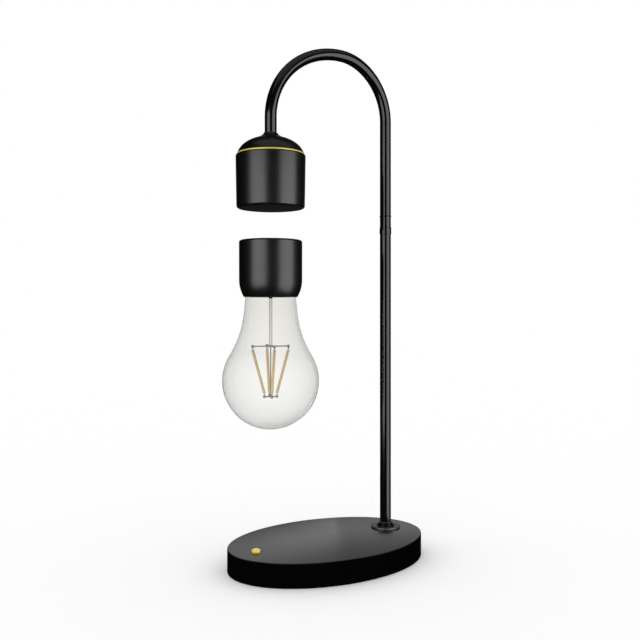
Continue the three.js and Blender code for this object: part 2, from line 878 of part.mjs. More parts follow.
// Four support wires round a hub. Each ends in a knob with a pin that points up or down to a filament
function supportCross(height, reach, hub, pinEnd) {
  const parts = [disc(hub, height - hubHeight / 2, height + hubHeight / 2, smallSides)];
  for (let arm = 0; arm < crossArms; arm += 1) {
    const spot = crossSpot(arm, reach, height);
    const centre = new THREE.Vector3(0, 0, height);
    const pinTip = spot.clone().setZ(height + pinEnd);
    parts.push(rod(wireRadius, centre, spot, wireSides));
    const knob = new THREE.SphereGeometry(knobRadius, wireSides, curveSteps);
    parts.push(knob.translate(spot.x, spot.y, spot.z));
    parts.push(rod(wireRadius, spot, pinTip, wireSides));
  }
  return join(parts);
}

function crossSpot(arm, reach, height) {
  const angle = crossTurn + (fullTurn * arm) / crossArms;
  return new THREE.Vector3(reach * Math.cos(angle), reach * Math.sin(angle), height);
}

function stemRod() {
  const bottom = bottomCrossZ + hubHeight / 2 + faceGap;
  const top = topCrossZ - hubHeight / 2 - faceGap;
  return disc(wireRadius, bottom, top, wireSides);
}

function filament(arm) {
  const low = crossSpot(arm, bottomCrossReach, bottomCrossZ + pinLength + roundGap);
  const high = crossSpot(arm, topCrossReach, topCrossZ - pinLength - roundGap);
  return rod(filamentRadius, low, high, cableSides);
}

function leadWire(side) {
  const wire = disc(leadRadius, neckTop - roundGap, rectifierBottom - faceGap, wireSides);
  return wire.translate((side * leadSpacing) / 2, 0, 0);
}

// Finishes
const satinBlackPaint = { color: 0x161617, roughness: 0.38, metalness: 0.3 };
const mattBlackPlastic = { color: 0x101011, roughness: 0.6, metalness: 0 };
const blackRubber = { color: 0x1a1a1a, roughness: 0.9, metalness: 0 };
const goldPlate = { color: 0xc9a227, roughness: 0.25, metalness: 1 };
const darkNickel = { color: 0x5b534c, roughness: 0.3, metalness: 1 };
const zincSteel = { color: 0x9a9ca0, roughness: 0.35, metalness: 1 };
const magnetNickel = { color: 0xb9bcc0, roughness: 0.2, metalness: 1 };
const copperWire = { color: 0xb0602f, roughness: 0.35, metalness: 1 };
const ferrite = { color: 0x2c2c2e, roughness: 0.8, metalness: 0 };
const circuitGreen = { color: 0x1f5a35, roughness: 0.5, metalness: 0 };
const sheetAmber = { color: 0x8a5a16, roughness: 0.6, metalness: 0 };
const clearGlass = { color: 0xf2f5f5, roughness: 0.03, metalness: 0, transparent: true, opacity: 0.3 };
const filamentYellow = { color: 0xd9a441, roughness: 0.6, metalness: 0 };

function piece(name, geometry, finish) {
  const mesh = new THREE.Mesh(geometry, new THREE.MeshStandardMaterial(finish));
  mesh.name = name;
  return mesh;
}

// Everything in a group is made on its own axis, and the group is set at that axis
function groupAt(x, pieces) {
  const group = new THREE.Group();
  group.position.x = x;
  group.add(...pieces);
  return group;
}

const baseGroup = groupAt(0, [
  piece('base_shell', baseShell(), satinBlackPaint),
  piece('bottom_plate', bottomPlate(), zincSteel),
  piece('non_slip_pad', nonSlipPad(), blackRubber),
  piece('insulating_sheet', insulatingSheet(), sheetAmber),
  piece('main_board', mainBoard(), circuitGreen),
  piece('dc_jack', dcJack(), mattBlackPlastic),
  piece('jack_pin', jackPin(), magnetNickel),
]);
bossSpots.forEach((spot, number) => {
  baseGroup.add(piece(`plate_screw_${number + 1}`, plateScrew(spot), zincSteel));
});

const buttonGroup = groupAt(buttonX, [
  piece('power_button', powerButton(), goldPlate),
  piece('switch_plunger', switchPlunger(), mattBlackPlastic),
  piece('switch_body', switchBody(), mattBlackPlastic),
]);

const tubeGroup = groupAt(tubeX, [
  piece('foot_flange', footFlange(), darkNickel),
  piece('foot_collar', footCollar(), satinBlackPaint),
  piece('tube_washer', tubeWasher(), zincSteel),
  piece('tube_nut', hexNut(tubeNutFlats, tubeHole, tubeNutZ, tubeNutZ + tubeNutHeight), zincSteel),
  piece('lower_tube', lowerTube(), satinBlackPaint),
  piece('tube_coupling', tubeCoupling(), satinBlackPaint),
]);

const archGroup = groupAt(0, [
  piece('gooseneck', gooseneck(), satinBlackPaint),
  piece('inner_cable', innerCable(), blackRubber),
]);

const facePlate = disc(headBore - roundGap, headBottomZ, facePlateTop, headSides);
const powerCoil = turnedRing(
  powerCoilInner,
  headBore - 2 * roundGap,
  powerCoilZ,
  powerCoilZ + powerCoilThickness,
  hiddenSides,
);
const ferriteDisc = turnedRing(
  ferriteHole,
  headBore - 2 * roundGap,
  ferriteZ,
  ferriteZ + ferriteThickness,
  hiddenSides,
);
const hallSensor = block(sensorWidth, sensorWidth, powerCoilZ, powerCoilZ + sensorThickness);
const biasMagnet = disc(biasMagnetRadius, biasMagnetZ, biasMagnetZ + biasMagnetHeight, hiddenSides);
const headGroup = groupAt(headX, [
  piece('head_dome', headDome(), satinBlackPaint),
  piece('gold_ring', goldRing(), goldPlate),
  piece('head_shell', headShell(), satinBlackPaint),
  piece('head_face', facePlate, mattBlackPlastic),
  piece('head_nut', hexNut(headNutFlats, tubeHole, headNutZ, headNutTop), zincSteel),
  piece('power_coil', powerCoil, copperWire),
  piece('ferrite_disc', ferriteDisc, ferrite),
  piece('hall_sensor', hallSensor, mattBlackPlastic),
  piece('coil_bobbin', coilBobbin(), mattBlackPlastic),
  piece('control_coil', controlCoil(), copperWire),
  piece('magnet_core', disc(coreRadius, bobbinZ, bobbinZ + bobbinHeight, hiddenSides), zincSteel),
  piece('bias_magnet', biasMagnet, magnetNickel),
  piece('head_board', disc(headBoardRadius, headBoardZ, headBoardTop, hiddenSides), circuitGreen),
]);

const rectifierBoard = disc(capBore - roundGap, rectifierBottom, rectifierTop, hiddenSides);
const topCross = supportCross(topCrossZ, topCrossReach, hubRadius, -pinLength);
const bottomCross = supportCross(bottomCrossZ, bottomCrossReach, lowerHubRadius, pinLength);
const bulbGroup = groupAt(headX, [
  piece('bulb_cap', bulbCap(), satinBlackPaint),
  piece('disc_magnet', disc(discMagnetRadius, discMagnetBottom, discMagnetTop, hiddenSides), magnetNickel),
  piece('receiver_coil', receiverCoil(), copperWire),
  piece('rectifier_board', rectifierBoard, circuitGreen),
  piece('glass_envelope', glassEnvelope(), clearGlass),
  piece('glass_stem', glassStem(), clearGlass),
  piece('stem_rod', stemRod(), magnetNickel),
  piece('top_cross', topCross, magnetNickel),
  piece('bottom_cross', bottomCross, magnetNickel),
  piece('lead_wire_1', leadWire(-1), copperWire),
  piece('lead_wire_2', leadWire(1), copperWire),
]);
for (let arm = 0; arm < crossArms; arm += 1) {
  bulbGroup.add(piece(`filament_${arm + 1}`, filament(arm), filamentYellow));
}

const lamp = new THREE.Group();
lamp.add(baseGroup, buttonGroup, tubeGroup, archGroup, headGroup, bulbGroup);

export default lamp;
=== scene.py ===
# Levitating table lamp: fine surfaces, finishes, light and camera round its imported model.
# Metres and radians, in the frame of that model: +Z up, and +X runs from the bulb towards the upright tube.
import math

import bmesh
import bpy
from mathutils import Matrix, Quaternion, Vector


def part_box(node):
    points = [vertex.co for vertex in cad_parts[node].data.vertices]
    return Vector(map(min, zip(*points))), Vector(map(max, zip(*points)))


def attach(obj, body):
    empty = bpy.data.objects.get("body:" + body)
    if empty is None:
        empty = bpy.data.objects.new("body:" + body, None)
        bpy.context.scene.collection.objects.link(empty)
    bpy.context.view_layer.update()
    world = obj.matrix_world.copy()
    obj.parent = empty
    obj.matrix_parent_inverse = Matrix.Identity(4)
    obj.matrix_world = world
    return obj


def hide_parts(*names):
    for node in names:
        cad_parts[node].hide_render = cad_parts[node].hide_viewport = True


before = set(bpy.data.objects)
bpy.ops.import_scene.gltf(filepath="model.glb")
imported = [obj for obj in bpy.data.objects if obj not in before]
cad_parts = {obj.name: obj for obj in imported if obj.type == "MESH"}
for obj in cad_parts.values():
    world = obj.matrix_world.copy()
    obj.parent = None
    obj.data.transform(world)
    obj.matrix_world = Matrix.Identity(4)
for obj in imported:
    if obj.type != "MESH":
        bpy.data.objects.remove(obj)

MM = 0.001
FULL_TURN = 2 * math.pi
QUARTER_TURN = math.pi / 2
SHARP_ANGLE = math.radians(32)
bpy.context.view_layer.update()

# A radius that counts as none, and a distance at which two points are one
ON_AXIS = 1e-9
SAME_SPOT = 1e-7

scene = bpy.context.scene


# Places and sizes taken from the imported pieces
def low(node):
    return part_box(node)[0]


def high(node):
    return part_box(node)[1]


def outer_radius(node):
    return (high(node).y - low(node).y) / 2


def axis_x(node):
    return (low(node).x + high(node).x) / 2


TUBE_X = axis_x("lower_tube")
HEAD_X = axis_x("head_shell")
BUTTON_X = axis_x("power_button")
TUBE_RADIUS = outer_radius("lower_tube")
BASE_TOP = high("base_shell").z

# Clearances between pieces, round a shaft and between faces
ROUND_GAP = 0.3 * MM
FACE_GAP = 0.1 * MM

# Counts of sides and steps
ROUND_SIDES = 128
TUBE_SIDES = 64
SMALL_SIDES = 32
WIRE_SIDES = 16
EDGE_STEPS = 6
LONG_STEPS = 24
STEPS_PER_DIE = 6

# Base housing
BASE_WALL = 2.4 * MM
BASE_EDGE = 0.5 * MM
EDGE_SUPPORT = 0.1 * MM
PLATE_SEAT_DEPTH = 1.0 * MM
HOLE_CHAMFER = 0.25 * MM
JACK_HOLE_RADIUS = 3.9 * MM

# Power inlet
JACK_BORE_RADIUS = 2.9 * MM
JACK_BORE_DEPTH = 9.0 * MM
JACK_PIN_RADIUS = 1.0 * MM
JACK_PIN_RECESS = 1.5 * MM
JACK_NOSE_EDGE = 0.2 * MM

# Button
BUTTON_RADIUS = 2.8 * MM
BUTTON_SIDE_HEIGHT = 0.7 * MM
BUTTON_FLANGE = 0.9 * MM

# Foot of the tube
FLANGE_EDGE = 0.35 * MM
COLLAR_STEP_RADIUS = 5.0 * MM
COLLAR_HEIGHT = 1.3 * MM
COLLAR_EDGE = 0.15 * MM

# Tubes
TUBE_WALL = 1.0 * MM
COUPLING_SPIGOT = 8.0 * MM
COUPLING_WALL = 0.5 * MM
COUPLING_EDGE = 0.2 * MM
BEAD_RISE = 7.5 * MM
BEAD_HEIGHT = 0.9 * MM
BEAD_PROUD = 0.25 * MM
ARCH_TUBE_REACH = 38.5 * MM
ARCH_TUBE_RISE = 39.0 * MM
ARCH_HEAD_RISE = 47.7 * MM
THREAD_TAIL = 0.3 * MM
ARCH_STEPS = 160

# Head
HEAD_TAPER = 0.5 * MM
HEAD_WALL = 1.8 * MM
HEAD_RIM_FLAT = 0.1 * MM
HEAD_UPPER_EDGE = 0.7 * MM
FACE_EDGE = 0.3 * MM
RING_EDGE = 0.4 * MM
DOME_STEP = 1.05 * MM
DOME_RISE = 12.97 * MM
DOME_SINK = 2.32 * MM
DOME_WALL = 2.0 * MM
DOME_SPIGOT_WALL = 1.6 * MM
DOME_SPIGOT = 4.5 * MM
DOME_LIP_WALL = 0.35 * MM
DOME_HOLE_CLEARANCE = 0.15 * MM
FLARE_START_RADIUS = 8.4 * MM
FLARE_BEND_SHARES = (0.17, 0.46)

# Bulb cap
CAP_WALL = 2.0 * MM
CAP_ROOF = 1.8 * MM
CAP_UPPER_EDGE = 1.4 * MM
CAP_TAPER_RADIUS = 21.0 * MM
CAP_TAPER_SLACK = 0.05 * MM
CAP_LIP_WALL = 0.62 * MM
CAP_SKIRT = 3.4 * MM
NECK_CLEARANCE = 0.25 * MM

# Glass bulb
SHOULDER_ANGLE = 0.547
SHOULDER_LOW_PULL = 12.95 * MM
SHOULDER_HIGH_PULL = 15.5 * MM
NECK_RADIUS = 15.75 * MM
NECK_LEAN = 0.052
GLASS_WALL = 0.8 * MM
CLEAR_WALL = 0.5 * MM
GLASS_SIDES = 192
GLASS_IOR = 1.5

# Heights at which the neck's painted shade starts and is full, and the tint of the glass's gloss
NECK_SHADE_LOW = 125 * MM
NECK_SHADE_HIGH = 165 * MM
GLASS_GLOSS = "#606060"

# Filament mount
STEM_RADIUS = 1.1 * MM
STEM_BORE = 0.85 * MM
STEM_FLARE_HEIGHT = 7.5 * MM
STEM_FUNNEL_SHARE = 0.5
TOP_REACH = 11.3 * MM
BOTTOM_REACH = 4.0 * MM
CROSS_TURN = -0.363
CROSS_ARMS = 4
WIRE_RADIUS = 0.4 * MM
KNOB_RADIUS = 0.95 * MM
HUB_HEIGHT = 1.2 * MM
TOP_HUB_RADIUS = 1.5 * MM
BOTTOM_HUB_RADIUS = 0.9 * MM
PIN_LENGTH = 1.9 * MM
FILAMENT_RADIUS = 0.9 * MM
DIE_COUNT = 26
DIE_SWELL_SHARE = 0.05


def leg_of(long_side, other_leg):
    """A short side of a right-angled triangle."""
    return math.sqrt(long_side * long_side - other_leg * other_leg)


# Outlines, as (radius, height) points
def arc(centre_radius, centre_z, radius, start, end, steps):
    points = []
    for step in range(steps + 1):
        angle = start + (end - start) * step / steps
        points.append((centre_radius + radius * math.cos(angle), centre_z + radius * math.sin(angle)))
    return points


def rounded_over(radius, height, edge, steps=EDGE_STEPS):
    """The rounding from the side at a radius to the top at a height."""
    return arc(radius - edge, height - edge, edge, 0, QUARTER_TURN, steps)


def rounded_under(radius, height, edge, steps=EDGE_STEPS):
    """The rounding from the bottom at a height to the side at a radius."""
    return arc(radius - edge, height + edge, edge, -QUARTER_TURN, 0, steps)


def oval_height(half_width, rise, radius):
    """How high an oval dome stands at a radius."""
    return rise * math.sqrt(1 - (radius / half_width) ** 2)


def oval_arc(centre_z, half_width, rise, start_radius, end_radius, steps):
    """The outline of an oval dome between two radii."""
    start, end = math.acos(start_radius / half_width), math.acos(end_radius / half_width)
    points = []
    for step in range(steps + 1):
        angle = start + (end - start) * step / steps
        points.append((half_width * math.cos(angle), centre_z + rise * math.sin(angle)))
    return points


def bezier(corners, steps):
    """Points of a Bezier curve through its first and last corner."""
    points = []
    for step in range(steps + 1):
        share = step / steps
        row = [Vector(corner) for corner in corners]
        while len(row) > 1:
            row = [a.lerp(b, share) for a, b in zip(row, row[1:])]
        points.append(tuple(row[0]))
    return points


def inset(outline, wall):
    """The same outline moved inwards by a wall. It starts on the axis."""
    moved = []
    last = len(outline) - 1
    for spot, (radius, height) in enumerate(outline):
        if spot == 0:
            moved.append((0.0, height + wall))
        elif spot == last:
            moved.append((radius - wall, height))
        else:
            before, after = Vector(outline[spot - 1]), Vector(outline[spot + 1])
            along = (after - before).normalized()
            moved.append((radius - wall * along.y, height + wall * along.x))
    return moved


# Meshes
def plain_mesh(name, work):
    mesh = bpy.data.meshes.new(name)
    work.to_mesh(mesh)
    work.free()
    return mesh


def smooth_mesh(name, work):
    """A mesh from a bmesh, smooth with its sharp edges kept."""
    mesh = plain_mesh(name, work)
    mesh.shade_smooth()
    mesh.set_sharp_from_angle(angle=SHARP_ANGLE)
    return mesh


def closed_mesh(name, work):
    """A smooth mesh with its doubles merged and its faces out."""
    bmesh.ops.remove_doubles(work, verts=work.verts, dist=SAME_SPOT)
    if work.calc_volume(signed=True) < 0:
        bmesh.ops.reverse_faces(work, faces=work.faces)
    return smooth_mesh(name, work)


def lathe(work, outline, sides, x=0.0):
    """Turns a closed outline about the upright line at x."""
    rings = []
    for radius, height in outline:
        if radius < ON_AXIS:
            rings.append([work.verts.new((x, 0.0, height))] * sides)
        else:
            rings.append([
                work.verts.new((
                    x + radius * math.cos(FULL_TURN * side / sides),
                    radius * math.sin(FULL_TURN * side / sides),
                    height,
                ))
                for side in range(sides)
            ])
    pairs = list(zip(rings, rings[1:]))
    if outline[0][0] > ON_AXIS:
        pairs.append((rings[-1], rings[0]))
    for lower, upper in pairs:
        for side in range(sides):
            after = (side + 1) % sides
            corners = [lower[side], lower[after], upper[after], upper[side]]
            corners = [c for spot, c in enumerate(corners) if c not in corners[:spot]]
            if len(corners) > 2:
                work.faces.new(corners)


def turned(name, outline, x, sides=ROUND_SIDES):
    work = bmesh.new()
    lathe(work, outline, sides, x)
    return closed_mesh(name, work)


def rod(work, radius, start, end, sides=WIRE_SIDES):
    """A round bar between two points."""
    span = end - start
    turn = Vector((0, 0, 1)).rotation_difference(span).to_matrix().to_4x4()
    place = Matrix.Translation((start + end) / 2) @ turn
    bmesh.ops.create_cone(
        work, cap_ends=True, segments=sides, radius1=radius, radius2=radius, depth=span.length, matrix=place
    )


def ball(work, radius, centre):
    place = Matrix.Translation(centre)
    bmesh.ops.create_uvsphere(
        work, u_segments=WIRE_SIDES, v_segments=WIRE_SIDES // 2, radius=radius, matrix=place
    )


def blank(name, work):
    """A working object, for a modifier. It isn't a piece of the lamp."""
    made = bpy.data.objects.new(name, closed_mesh(name, work))
    scene.collection.objects.link(made)
    return made


def turned_tool(name, outline, place):
    """A turned tool, moved to its place."""
    work = bmesh.new()
    lathe(work, outline, TUBE_SIDES)
    bmesh.ops.transform(work, matrix=place, verts=work.verts)
    return blank(name, work)


def carved(name, body, tools):
    """The mesh of a body after its tools. Each row is a tool and what it does to the body."""
    for tool, operation in tools:
        change = body.modifiers.new(tool.name, "BOOLEAN")
        change.operation = operation
        change.solver = "EXACT"
        change.object = tool
    depsgraph = bpy.context.evaluated_depsgraph_get()
    mesh = bpy.data.meshes.new_from_object(body.evaluated_get(depsgraph), depsgraph=depsgraph)
    mesh.set_sharp_from_angle(angle=SHARP_ANGLE)
    for spare in (body, *(tool for tool, _ in tools)):
        bpy.data.objects.remove(spare)
    mesh.name = name
    return mesh


# Node trees
def add_node(tree, kind, inputs=None, **settings):
    """Adds a node. Each input is a plain value or the socket that feeds it."""
    made = tree.nodes.new(kind)
    for setting, value in settings.items():
        setattr(made, setting, value)
    for key, value in (inputs or {}).items():
        if isinstance(key, str):
            socket = next(s for s in made.inputs if s.name == key and s.enabled)
        else:
            socket = made.inputs[key]
        if isinstance(value, bpy.types.NodeSocket):
            tree.links.new(value, socket)
        else:
            socket.default_value = value
    return made


def linear(hex_colour, alpha=1.0):
    """An sRGB hex colour as Blender's linear colour."""
    channels = [int(hex_colour[i:i + 2], 16) / 255 for i in (1, 3, 5)]
    straight = [c / 12.92 if c <= 0.04045 else ((c + 0.055) / 1.055) ** 2.4 for c in channels]
    return (*straight, alpha)


def grown(name, source, tree, sizes):
    """The plain mesh that a geometry tree makes, with its named sizes set."""
    holder = bpy.data.objects.new(name, source)
    scene.collection.objects.link(holder)
    modifier = holder.modifiers.new(tree.name, "NODES")
    modifier.node_group = tree
    for item in tree.interface.items_tree:
        if item.item_type == "SOCKET" and item.in_out == "INPUT" and item.name in sizes:
            modifier[item.identifier] = sizes[item.name]
    depsgraph = bpy.context.evaluated_depsgraph_get()
    mesh = bpy.data.meshes.new_from_object(holder.evaluated_get(depsgraph), depsgraph=depsgraph)
    bpy.data.objects.remove(holder)
    mesh.name = name
    return mesh


def new_tree(name, inputs):
    """A geometry tree with a mesh in and out and the named inputs given as (name, kind)."""
    tree = bpy.data.node_groups.new(name, "GeometryNodeTree")
    tree.interface.new_socket("Geometry", in_out="INPUT", socket_type="NodeSocketGeometry")
    for label, kind in inputs:
        tree.interface.new_socket(label, in_out="INPUT", socket_type=kind)
    tree.interface.new_socket("Geometry", in_out="OUTPUT", socket_type="NodeSocketGeometry")
    return tree, add_node(tree, "NodeGroupInput").outputs


def end_tree(tree, geometry, finish):
    """Ends a tree in plain geometry with its finish set."""
    smooth = add_node(tree, "GeometryNodeSetShadeSmooth", {"Geometry": geometry})
    real = add_node(tree, "GeometryNodeRealizeInstances", {"Geometry": smooth.outputs[0]})
    painted = add_node(
        tree, "GeometryNodeSetMaterial", {"Geometry": real.outputs[0], "Material": finish}
    )
    add_node(tree, "NodeGroupOutput", {"Geometry": painted.outputs[0]})


def sums(tree, known, rows):
    """Works out named numbers, one Math node a row: (name, operation, value, value). A value is a
    number or the name of an earlier one."""
    for label, operation, *values in rows:
        inputs = {place: known[v] if isinstance(v, str) else v for place, v in enumerate(values)}
        known[label] = add_node(tree, "ShaderNodeMath", inputs, operation=operation).outputs[0]
    return known


def swan_neck_tree():
    """A tube along two quarter ellipses that meet at the top, with a straight run at each end."""
    sizes = ("Tube X", "Top Z", "Tube reach", "Tube rise", "Head reach", "Head rise", "Tube end", "Head end")
    inputs = [(size, "NodeSocketFloat") for size in (*sizes, "Radius")]
    inputs += [("Steps", "NodeSocketInt"), ("Sides", "NodeSocketInt"), ("Paint", "NodeSocketMaterial")]
    tree, given = new_tree("swan_neck", inputs)
    line = add_node(tree, "GeometryNodeMeshLine", {"Count": given["Steps"]})
    known = {size: given[size] for size in (*sizes, "Steps")}
    known["spot"] = add_node(tree, "GeometryNodeInputIndex").outputs[0]
    known = sums(tree, known, [
        ("bend spot", "SUBTRACT", "spot", 1.0),
        ("bend steps", "SUBTRACT", "Steps", 3.0),
        ("share", "DIVIDE", "bend spot", "bend steps"),
        ("low share", "MAXIMUM", "share", 0.0),
        ("held share", "MINIMUM", "low share", 1.0),
        ("angle", "MULTIPLY", "held share", math.pi),
        ("along", "COSINE", "angle"),
        ("up", "SINE", "angle"),
        ("tube side", "GREATER_THAN", "along", 0.0),
        ("more reach", "SUBTRACT", "Tube reach", "Head reach"),
        ("reach", "MULTIPLY_ADD", "tube side", "more reach", "Head reach"),
        ("more rise", "SUBTRACT", "Tube rise", "Head rise"),
        ("rise", "MULTIPLY_ADD", "tube side", "more rise", "Head rise"),
        ("top X", "SUBTRACT", "Tube X", "Tube reach"),
        ("X", "MULTIPLY_ADD", "along", "reach", "top X"),
        ("bend foot", "SUBTRACT", "Top Z", "rise"),
        ("bend Z", "MULTIPLY_ADD", "up", "rise", "bend foot"),
        ("is first", "LESS_THAN", "spot", 0.5),
        ("last spot", "SUBTRACT", "Steps", 1.5),
        ("is last", "GREATER_THAN", "spot", "last spot"),
        ("tube run", "SUBTRACT", "Tube end", "bend Z"),
        ("head run", "SUBTRACT", "Head end", "bend Z"),
        ("first Z", "MULTIPLY_ADD", "is first", "tube run", "bend Z"),
        ("Z", "MULTIPLY_ADD", "is last", "head run", "first Z"),
    ])
    place = add_node(tree, "ShaderNodeCombineXYZ", {"X": known["X"], "Z": known["Z"]})
    bent = add_node(
        tree, "GeometryNodeSetPosition", {"Geometry": line.outputs[0], "Position": place.outputs[0]}
    )
    path = add_node(tree, "GeometryNodeMeshToCurve", {"Mesh": bent.outputs[0]})
    section = add_node(
        tree, "GeometryNodeCurvePrimitiveCircle", {"Resolution": given["Sides"], "Radius": given["Radius"]}
    )
    tube = add_node(
        tree,
        "GeometryNodeCurveToMesh",
        {"Curve": path.outputs[0], "Profile Curve": section.outputs[0], "Fill Caps": True},
    )
    end_tree(tree, tube.outputs[0], given["Paint"])
    return tree


def arms_tree():
    """Copies of one arm, spread evenly round the upright axis."""
    inputs = [("Count", "NodeSocketInt"), ("Turn", "NodeSocketFloat"), ("Metal", "NodeSocketMaterial")]
    tree, given = new_tree("arms_round_a_hub", inputs)
    spots = add_node(tree, "GeometryNodePoints", {"Count": given["Count"]})
    known = {"Count": given["Count"], "Turn": given["Turn"]}
    known["arm"] = add_node(tree, "GeometryNodeInputIndex").outputs[0]
    known = sums(tree, known, [
        ("step", "DIVIDE", FULL_TURN, "Count"),
        ("angle", "MULTIPLY_ADD", "arm", "step", "Turn"),
    ])
    turn = add_node(tree, "ShaderNodeCombineXYZ", {"Z": known["angle"]})
    arms = add_node(
        tree,
        "GeometryNodeInstanceOnPoints",
        {"Points": spots.outputs[0], "Instance": given["Geometry"], "Rotation": turn.outputs[0]},
    )
    end_tree(tree, arms.outputs[0], given["Metal"])
    return tree


# Finishes. Most grains are finer than a pixel of the render, so each also shows as a cloudiness of
# colour and gloss, this many grains wide
CLOUD_GRAINS = 40
CLOUD_DETAIL = 3.0
GRAIN_DETAIL = 2.0


def surface(name, colour, metallic, roughness, grain, depth, mottle=0.12, rough_spread=0.05, **sockets):
    """A finish with the grain of its surface: the grain's size and depth are in metres, mottle is how
    far its colour wanders and rough_spread how far its roughness does."""
    material = bpy.data.materials.new(name)
    material.use_nodes = True
    tree = material.node_tree
    tree.nodes.clear()
    place = add_node(tree, "ShaderNodeTexCoord").outputs["Object"]
    wide = add_node(
        tree,
        "ShaderNodeTexNoise",
        {"Vector": place, "Scale": 1 / (CLOUD_GRAINS * grain), "Detail": CLOUD_DETAIL},
    )
    fine = add_node(
        tree, "ShaderNodeTexNoise", {"Vector": place, "Scale": 1 / grain, "Detail": GRAIN_DETAIL}
    )
    base = linear(colour)
    darker = tuple(c * (1 - mottle) for c in base[:3]) + (1.0,)
    lighter = tuple(min(c * (1 + mottle), 1.0) for c in base[:3]) + (1.0,)
    tint = add_node(
        tree, "ShaderNodeMix", {"Factor": wide.outputs["Fac"], "A": darker, "B": lighter}, data_type="RGBA"
    )
    rough = add_node(
        tree,
        "ShaderNodeMapRange",
        {
            "Value": wide.outputs["Fac"],
            "To Min": max(roughness - rough_spread, 0.0),
            "To Max": roughness + rough_spread,
        },
    )
    bump = add_node(
        tree, "ShaderNodeBump", {"Height": fine.outputs["Fac"], "Distance": depth, "Strength": 1.0}
    )
    shader = add_node(
        tree,
        "ShaderNodeBsdfPrincipled",
        {
            "Base Color": tint.outputs["Result"],
            "Metallic": metallic,
            "Roughness": rough.outputs["Result"],
            "Normal": bump.outputs["Normal"],
            **sockets,
        },
    )
    add_node(tree, "ShaderNodeOutputMaterial", {"Surface": shader.outputs[0]})
    return material


# Baked lacquer on steel tube and die-cast housing: deep black, a soft gloss and a faint orange peel
satin_lacquer = surface(
    "satin_black_lacquer", "#040405", 0.0, 0.24, 0.7 * MM, 0.001 * MM, rough_spread=0.03,
    **{"Specular IOR Level": 0.25},
)
# The same lacquer on the drawn steel tubes, where it flows out to a closer gloss
gloss_lacquer = surface(
    "gloss_black_lacquer", "#040405", 0.0, 0.16, 0.7 * MM, 0.0005 * MM, rough_spread=0.02
)
# Bead-blasted aluminium dyed black in the anodising bath: the blast leaves a fine even tooth
black_anodised = surface(
    "black_anodised_aluminium", "#050508", 0.0, 0.33, 0.25 * MM, 0.0015 * MM, **{"Specular IOR Level": 0.6}
)
# Injection-moulded ABS from a fine spark-eroded mould: a close grain and a slightly softer gloss
black_abs = surface(
    "moulded_black_abs", "#050507", 0.0, 0.33, 0.35 * MM, 0.0015 * MM, **{"Specular IOR Level": 0.6}
)
# Glass-filled nylon of sockets and coil formers: dull, with flow marks
black_nylon = surface("black_glass_filled_nylon", "#080809", 0.0, 0.55, 0.3 * MM, 0.004 * MM)
# Moulded silicone rubber: matt and slightly dusty
silicone = surface("black_silicone_rubber", "#141414", 0.0, 0.85, 0.4 * MM, 0.006 * MM, mottle=0.2)
# Gold lacquer, metal flake in clear resin over a brass turning: an even warm yellow from every side
gold_lacquer = surface(
    "gold_flake_lacquer_on_brass", "#dfca56", 0.25, 0.42, 0.2 * MM, 0.001 * MM, mottle=0.05
)
# The domed button's gold: smooth, and a paler, brighter yellow than the ring, which is painted light for the
# light that falls on its upward top
gold_lit_from_above = surface(
    "gold_anodised_aluminium", "#fce66a", 0.1, 0.4, 0.2 * MM, 0.001 * MM, mottle=0.05
)
# Black nickel over a turned steel washer: brown-grey metal
black_nickel = surface("black_nickel_plate", "#7d736c", 1.0, 0.45, 0.2 * MM, 0.001 * MM)
# Zinc-plated steel: bluish grey with a cloudy bloom
zinc_steel = surface("zinc_plated_steel", "#aab0b6", 1.0, 0.36, 0.5 * MM, 0.002 * MM, mottle=0.15)
# Bright nickel on turned pins and sintered magnets: a smooth mirror, slightly warm
bright_nickel = surface("bright_nickel_plate", "#b9b7b2", 1.0, 0.22, 0.2 * MM, 0.0008 * MM, mottle=0.06)
# Nickel-iron support wire, dulled to an oxide grey by the heat of sealing
sealed_wire = surface("dull_nickel_iron_wire", "#b3aca5", 0.2, 0.6, 0.2 * MM, 0.001 * MM, mottle=0.1)
# Enamelled copper wire wound in a block: a warm shine broken by its turns
enamelled_copper = surface("enamelled_copper_wire", "#b4663a", 1.0, 0.32, 0.4 * MM, 0.02 * MM)
# Pressed ferrite: dark grey ceramic with open pores
pressed_ferrite = surface("pressed_ferrite", "#2b2b2e", 0.0, 0.7, 0.25 * MM, 0.006 * MM, mottle=0.25)
# Glass-fibre board under a printed solder mask: glossy green, a little cloudy
solder_mask = surface("green_solder_mask_on_board", "#1c4f2e", 0.0, 0.35, 0.5 * MM, 0.004 * MM, mottle=0.2)
# Rolled polyester film: brown and smooth
amber_film = surface("amber_polyester_film", "#8d5f1c", 0.0, 0.4, 0.6 * MM, 0.003 * MM)
# Silicone loaded with yellow phosphor, cast over a row of small lamps: matt and pale yellow
phosphor = surface(
    "phosphor_silicone_coat", "#f4dbae", 0.0, 0.7, 0.3 * MM, 0.006 * MM, **{"Specular IOR Level": 0.15}
)


